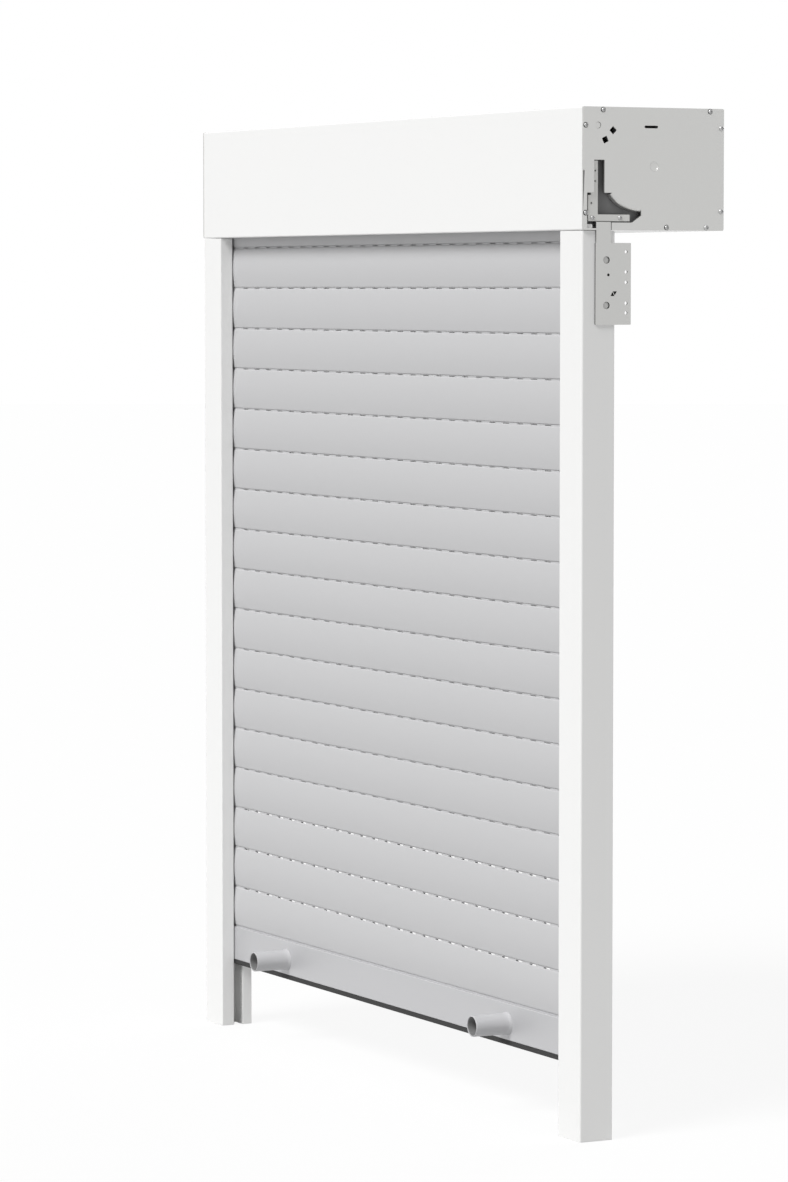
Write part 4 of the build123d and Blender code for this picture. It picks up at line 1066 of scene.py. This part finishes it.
class SHUTTER_OT_stage(bpy.types.Operator):
    """Set the pale floor, the plain soft light and the camera at the viewing angle"""

    bl_idname = "shutter.stage"
    bl_label = "Stage"

    def execute(self, context):
        scene = context.scene
        scene.view_settings.view_transform = "Standard"
        self.floor(scene)
        self.world(scene)
        self.lamps(scene)
        self.camera(scene)
        return {"FINISHED"}

    def floor(self, scene):
        """A round floor at the feet's level: mostly even white where it is seen, else pale and matt."""
        rim = regular((0, 0), FLOOR_RADIUS, 96)
        mesh = bpy.data.meshes.new("floor")
        mesh.from_pydata(np.column_stack([rim, np.zeros(len(rim))]).tolist(), [], [list(range(len(rim)))])
        floor = bpy.data.objects.new("floor", mesh)
        scene.collection.objects.link(floor)
        material = bpy.data.materials.new("floor")
        material.use_nodes = True
        nodes, links = material.node_tree.nodes, material.node_tree.links
        nodes.clear()
        matt = nodes.new("ShaderNodeBsdfDiffuse")
        matt.inputs["Color"].default_value = (*scene.shutter_colours.ground, 1)
        white = nodes.new("ShaderNodeEmission")
        white.inputs["Strength"].default_value = FLOOR_GLOW
        mix = nodes.new("ShaderNodeMixShader")
        output = nodes.new("ShaderNodeOutputMaterial")
        share = nodes.new("ShaderNodeMath")
        share.operation = "MULTIPLY"
        share.inputs[1].default_value = FLOOR_GLOW_SHARE
        links.new(self.seen(nodes, links), share.inputs[0])
        links.new(share.outputs["Value"], mix.inputs["Fac"])
        links.new(matt.outputs["BSDF"], mix.inputs[1])
        links.new(white.outputs["Emission"], mix.inputs[2])
        links.new(mix.outputs["Shader"], output.inputs["Surface"])
        mesh.materials.append(material)

    def seen(self, nodes, links):
        """1 for camera, glossy and transmission rays, else 0."""
        path = nodes.new("ShaderNodeLightPath")
        value = path.outputs["Is Camera Ray"]
        for ray in ("Is Glossy Ray", "Is Transmission Ray"):
            either = nodes.new("ShaderNodeMath")
            either.operation = "MAXIMUM"
            links.new(value, either.inputs[0])
            links.new(path.outputs[ray], either.inputs[1])
            value = either.outputs["Value"]
        return value

    def world(self, scene):
        """An even white sky: full strength where it is seen, and the fill light's strength elsewhere."""
        world = bpy.data.worlds.new("studio")
        scene.world = world
        world.use_nodes = True
        nodes, links = world.node_tree.nodes, world.node_tree.links
        nodes.clear()
        fill = nodes.new("ShaderNodeBackground")
        fill.inputs["Strength"].default_value = FILL_STRENGTH
        white = nodes.new("ShaderNodeBackground")
        white.inputs["Strength"].default_value = SKY_STRENGTH
        for node in (fill, white):
            node.inputs["Color"].default_value = (1, 1, 1, 1)
        mix = nodes.new("ShaderNodeMixShader")
        output = nodes.new("ShaderNodeOutputWorld")
        links.new(self.seen(nodes, links), mix.inputs["Fac"])
        links.new(fill.outputs["Background"], mix.inputs[1])
        links.new(white.outputs["Background"], mix.inputs[2])
        links.new(mix.outputs["Shader"], output.inputs["Surface"])

    def lamps(self, scene):
        """Two distant lamps, soft as a wide cloth would make them."""
        for name, towards, strength, softness in LAMPS:
            lamp = bpy.data.lights.new(name, "SUN")
            lamp.energy = strength
            lamp.angle = math.radians(softness)
            holder = bpy.data.objects.new(name, lamp)
            holder.rotation_euler = Vector(towards).to_track_quat("Z", "Y").to_euler()
            scene.collection.objects.link(holder)

    def camera(self, scene):
        """Camera from its place, its turn about Z and its tilt: right, up and back are its axes."""
        yaw, pitch = CAMERA_TURN
        level = math.cos(pitch)
        forward = Vector((-math.sin(yaw) * level, math.cos(yaw) * level, math.sin(pitch)))
        right = Vector((math.cos(yaw), math.sin(yaw), 0))
        up = right.cross(forward)
        data = bpy.data.cameras.new("viewer")
        data.lens = scene.shutter_sizes.lens
        data.clip_end = 100
        camera = bpy.data.objects.new("viewer", data)
        axes = Matrix((right, up, -forward)).transposed().to_4x4()
        camera.matrix_world = Matrix.Translation(CAMERA_PLACE) @ axes
        scene.collection.objects.link(camera)
        scene.camera = camera


OPERATORS = (
    SHUTTER_OT_stage,
    SHUTTER_OT_headbox_panels,
    SHUTTER_OT_end_plates,
    SHUTTER_OT_guide_rails,
    SHUTTER_OT_brackets,
    SHUTTER_OT_screws,
    SHUTTER_OT_slats,
    SHUTTER_OT_bottom_bar,
    SHUTTER_OT_stoppers,
    SHUTTER_OT_winding_gear,
)


class SHUTTER_PT_pieces(bpy.types.Panel):
    """Sidebar panel with the sizes, the colours and a button for each group of pieces"""

    bl_idname = "SHUTTER_PT_pieces"
    bl_label = "Roller shutter"
    bl_space_type = "VIEW_3D"
    bl_region_type = "UI"
    bl_category = "Shutter"

    def draw(self, context):
        for group in (context.scene.shutter_sizes, context.scene.shutter_colours):
            for name in group.bl_rna.properties.keys():
                if name not in {"rna_type", "name"}:
                    self.layout.prop(group, name)
        for operator in OPERATORS:
            self.layout.operator(operator.bl_idname)


CLASSES = (ShutterSizes, ShutterColours, *OPERATORS, SHUTTER_PT_pieces)


def register():
    for entry in CLASSES:
        bpy.utils.register_class(entry)
    bpy.types.Scene.shutter_sizes = PointerProperty(type=ShutterSizes)
    bpy.types.Scene.shutter_colours = PointerProperty(type=ShutterColours)


def unregister():
    del bpy.types.Scene.shutter_colours
    del bpy.types.Scene.shutter_sizes
    for entry in reversed(CLASSES):
        bpy.utils.unregister_class(entry)


def main():
    """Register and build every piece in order."""
    register()
    for operator in OPERATORS:
        group, name = operator.bl_idname.split(".")
        getattr(getattr(bpy.ops, group), name)()


if __name__ == "__main__":
    main()
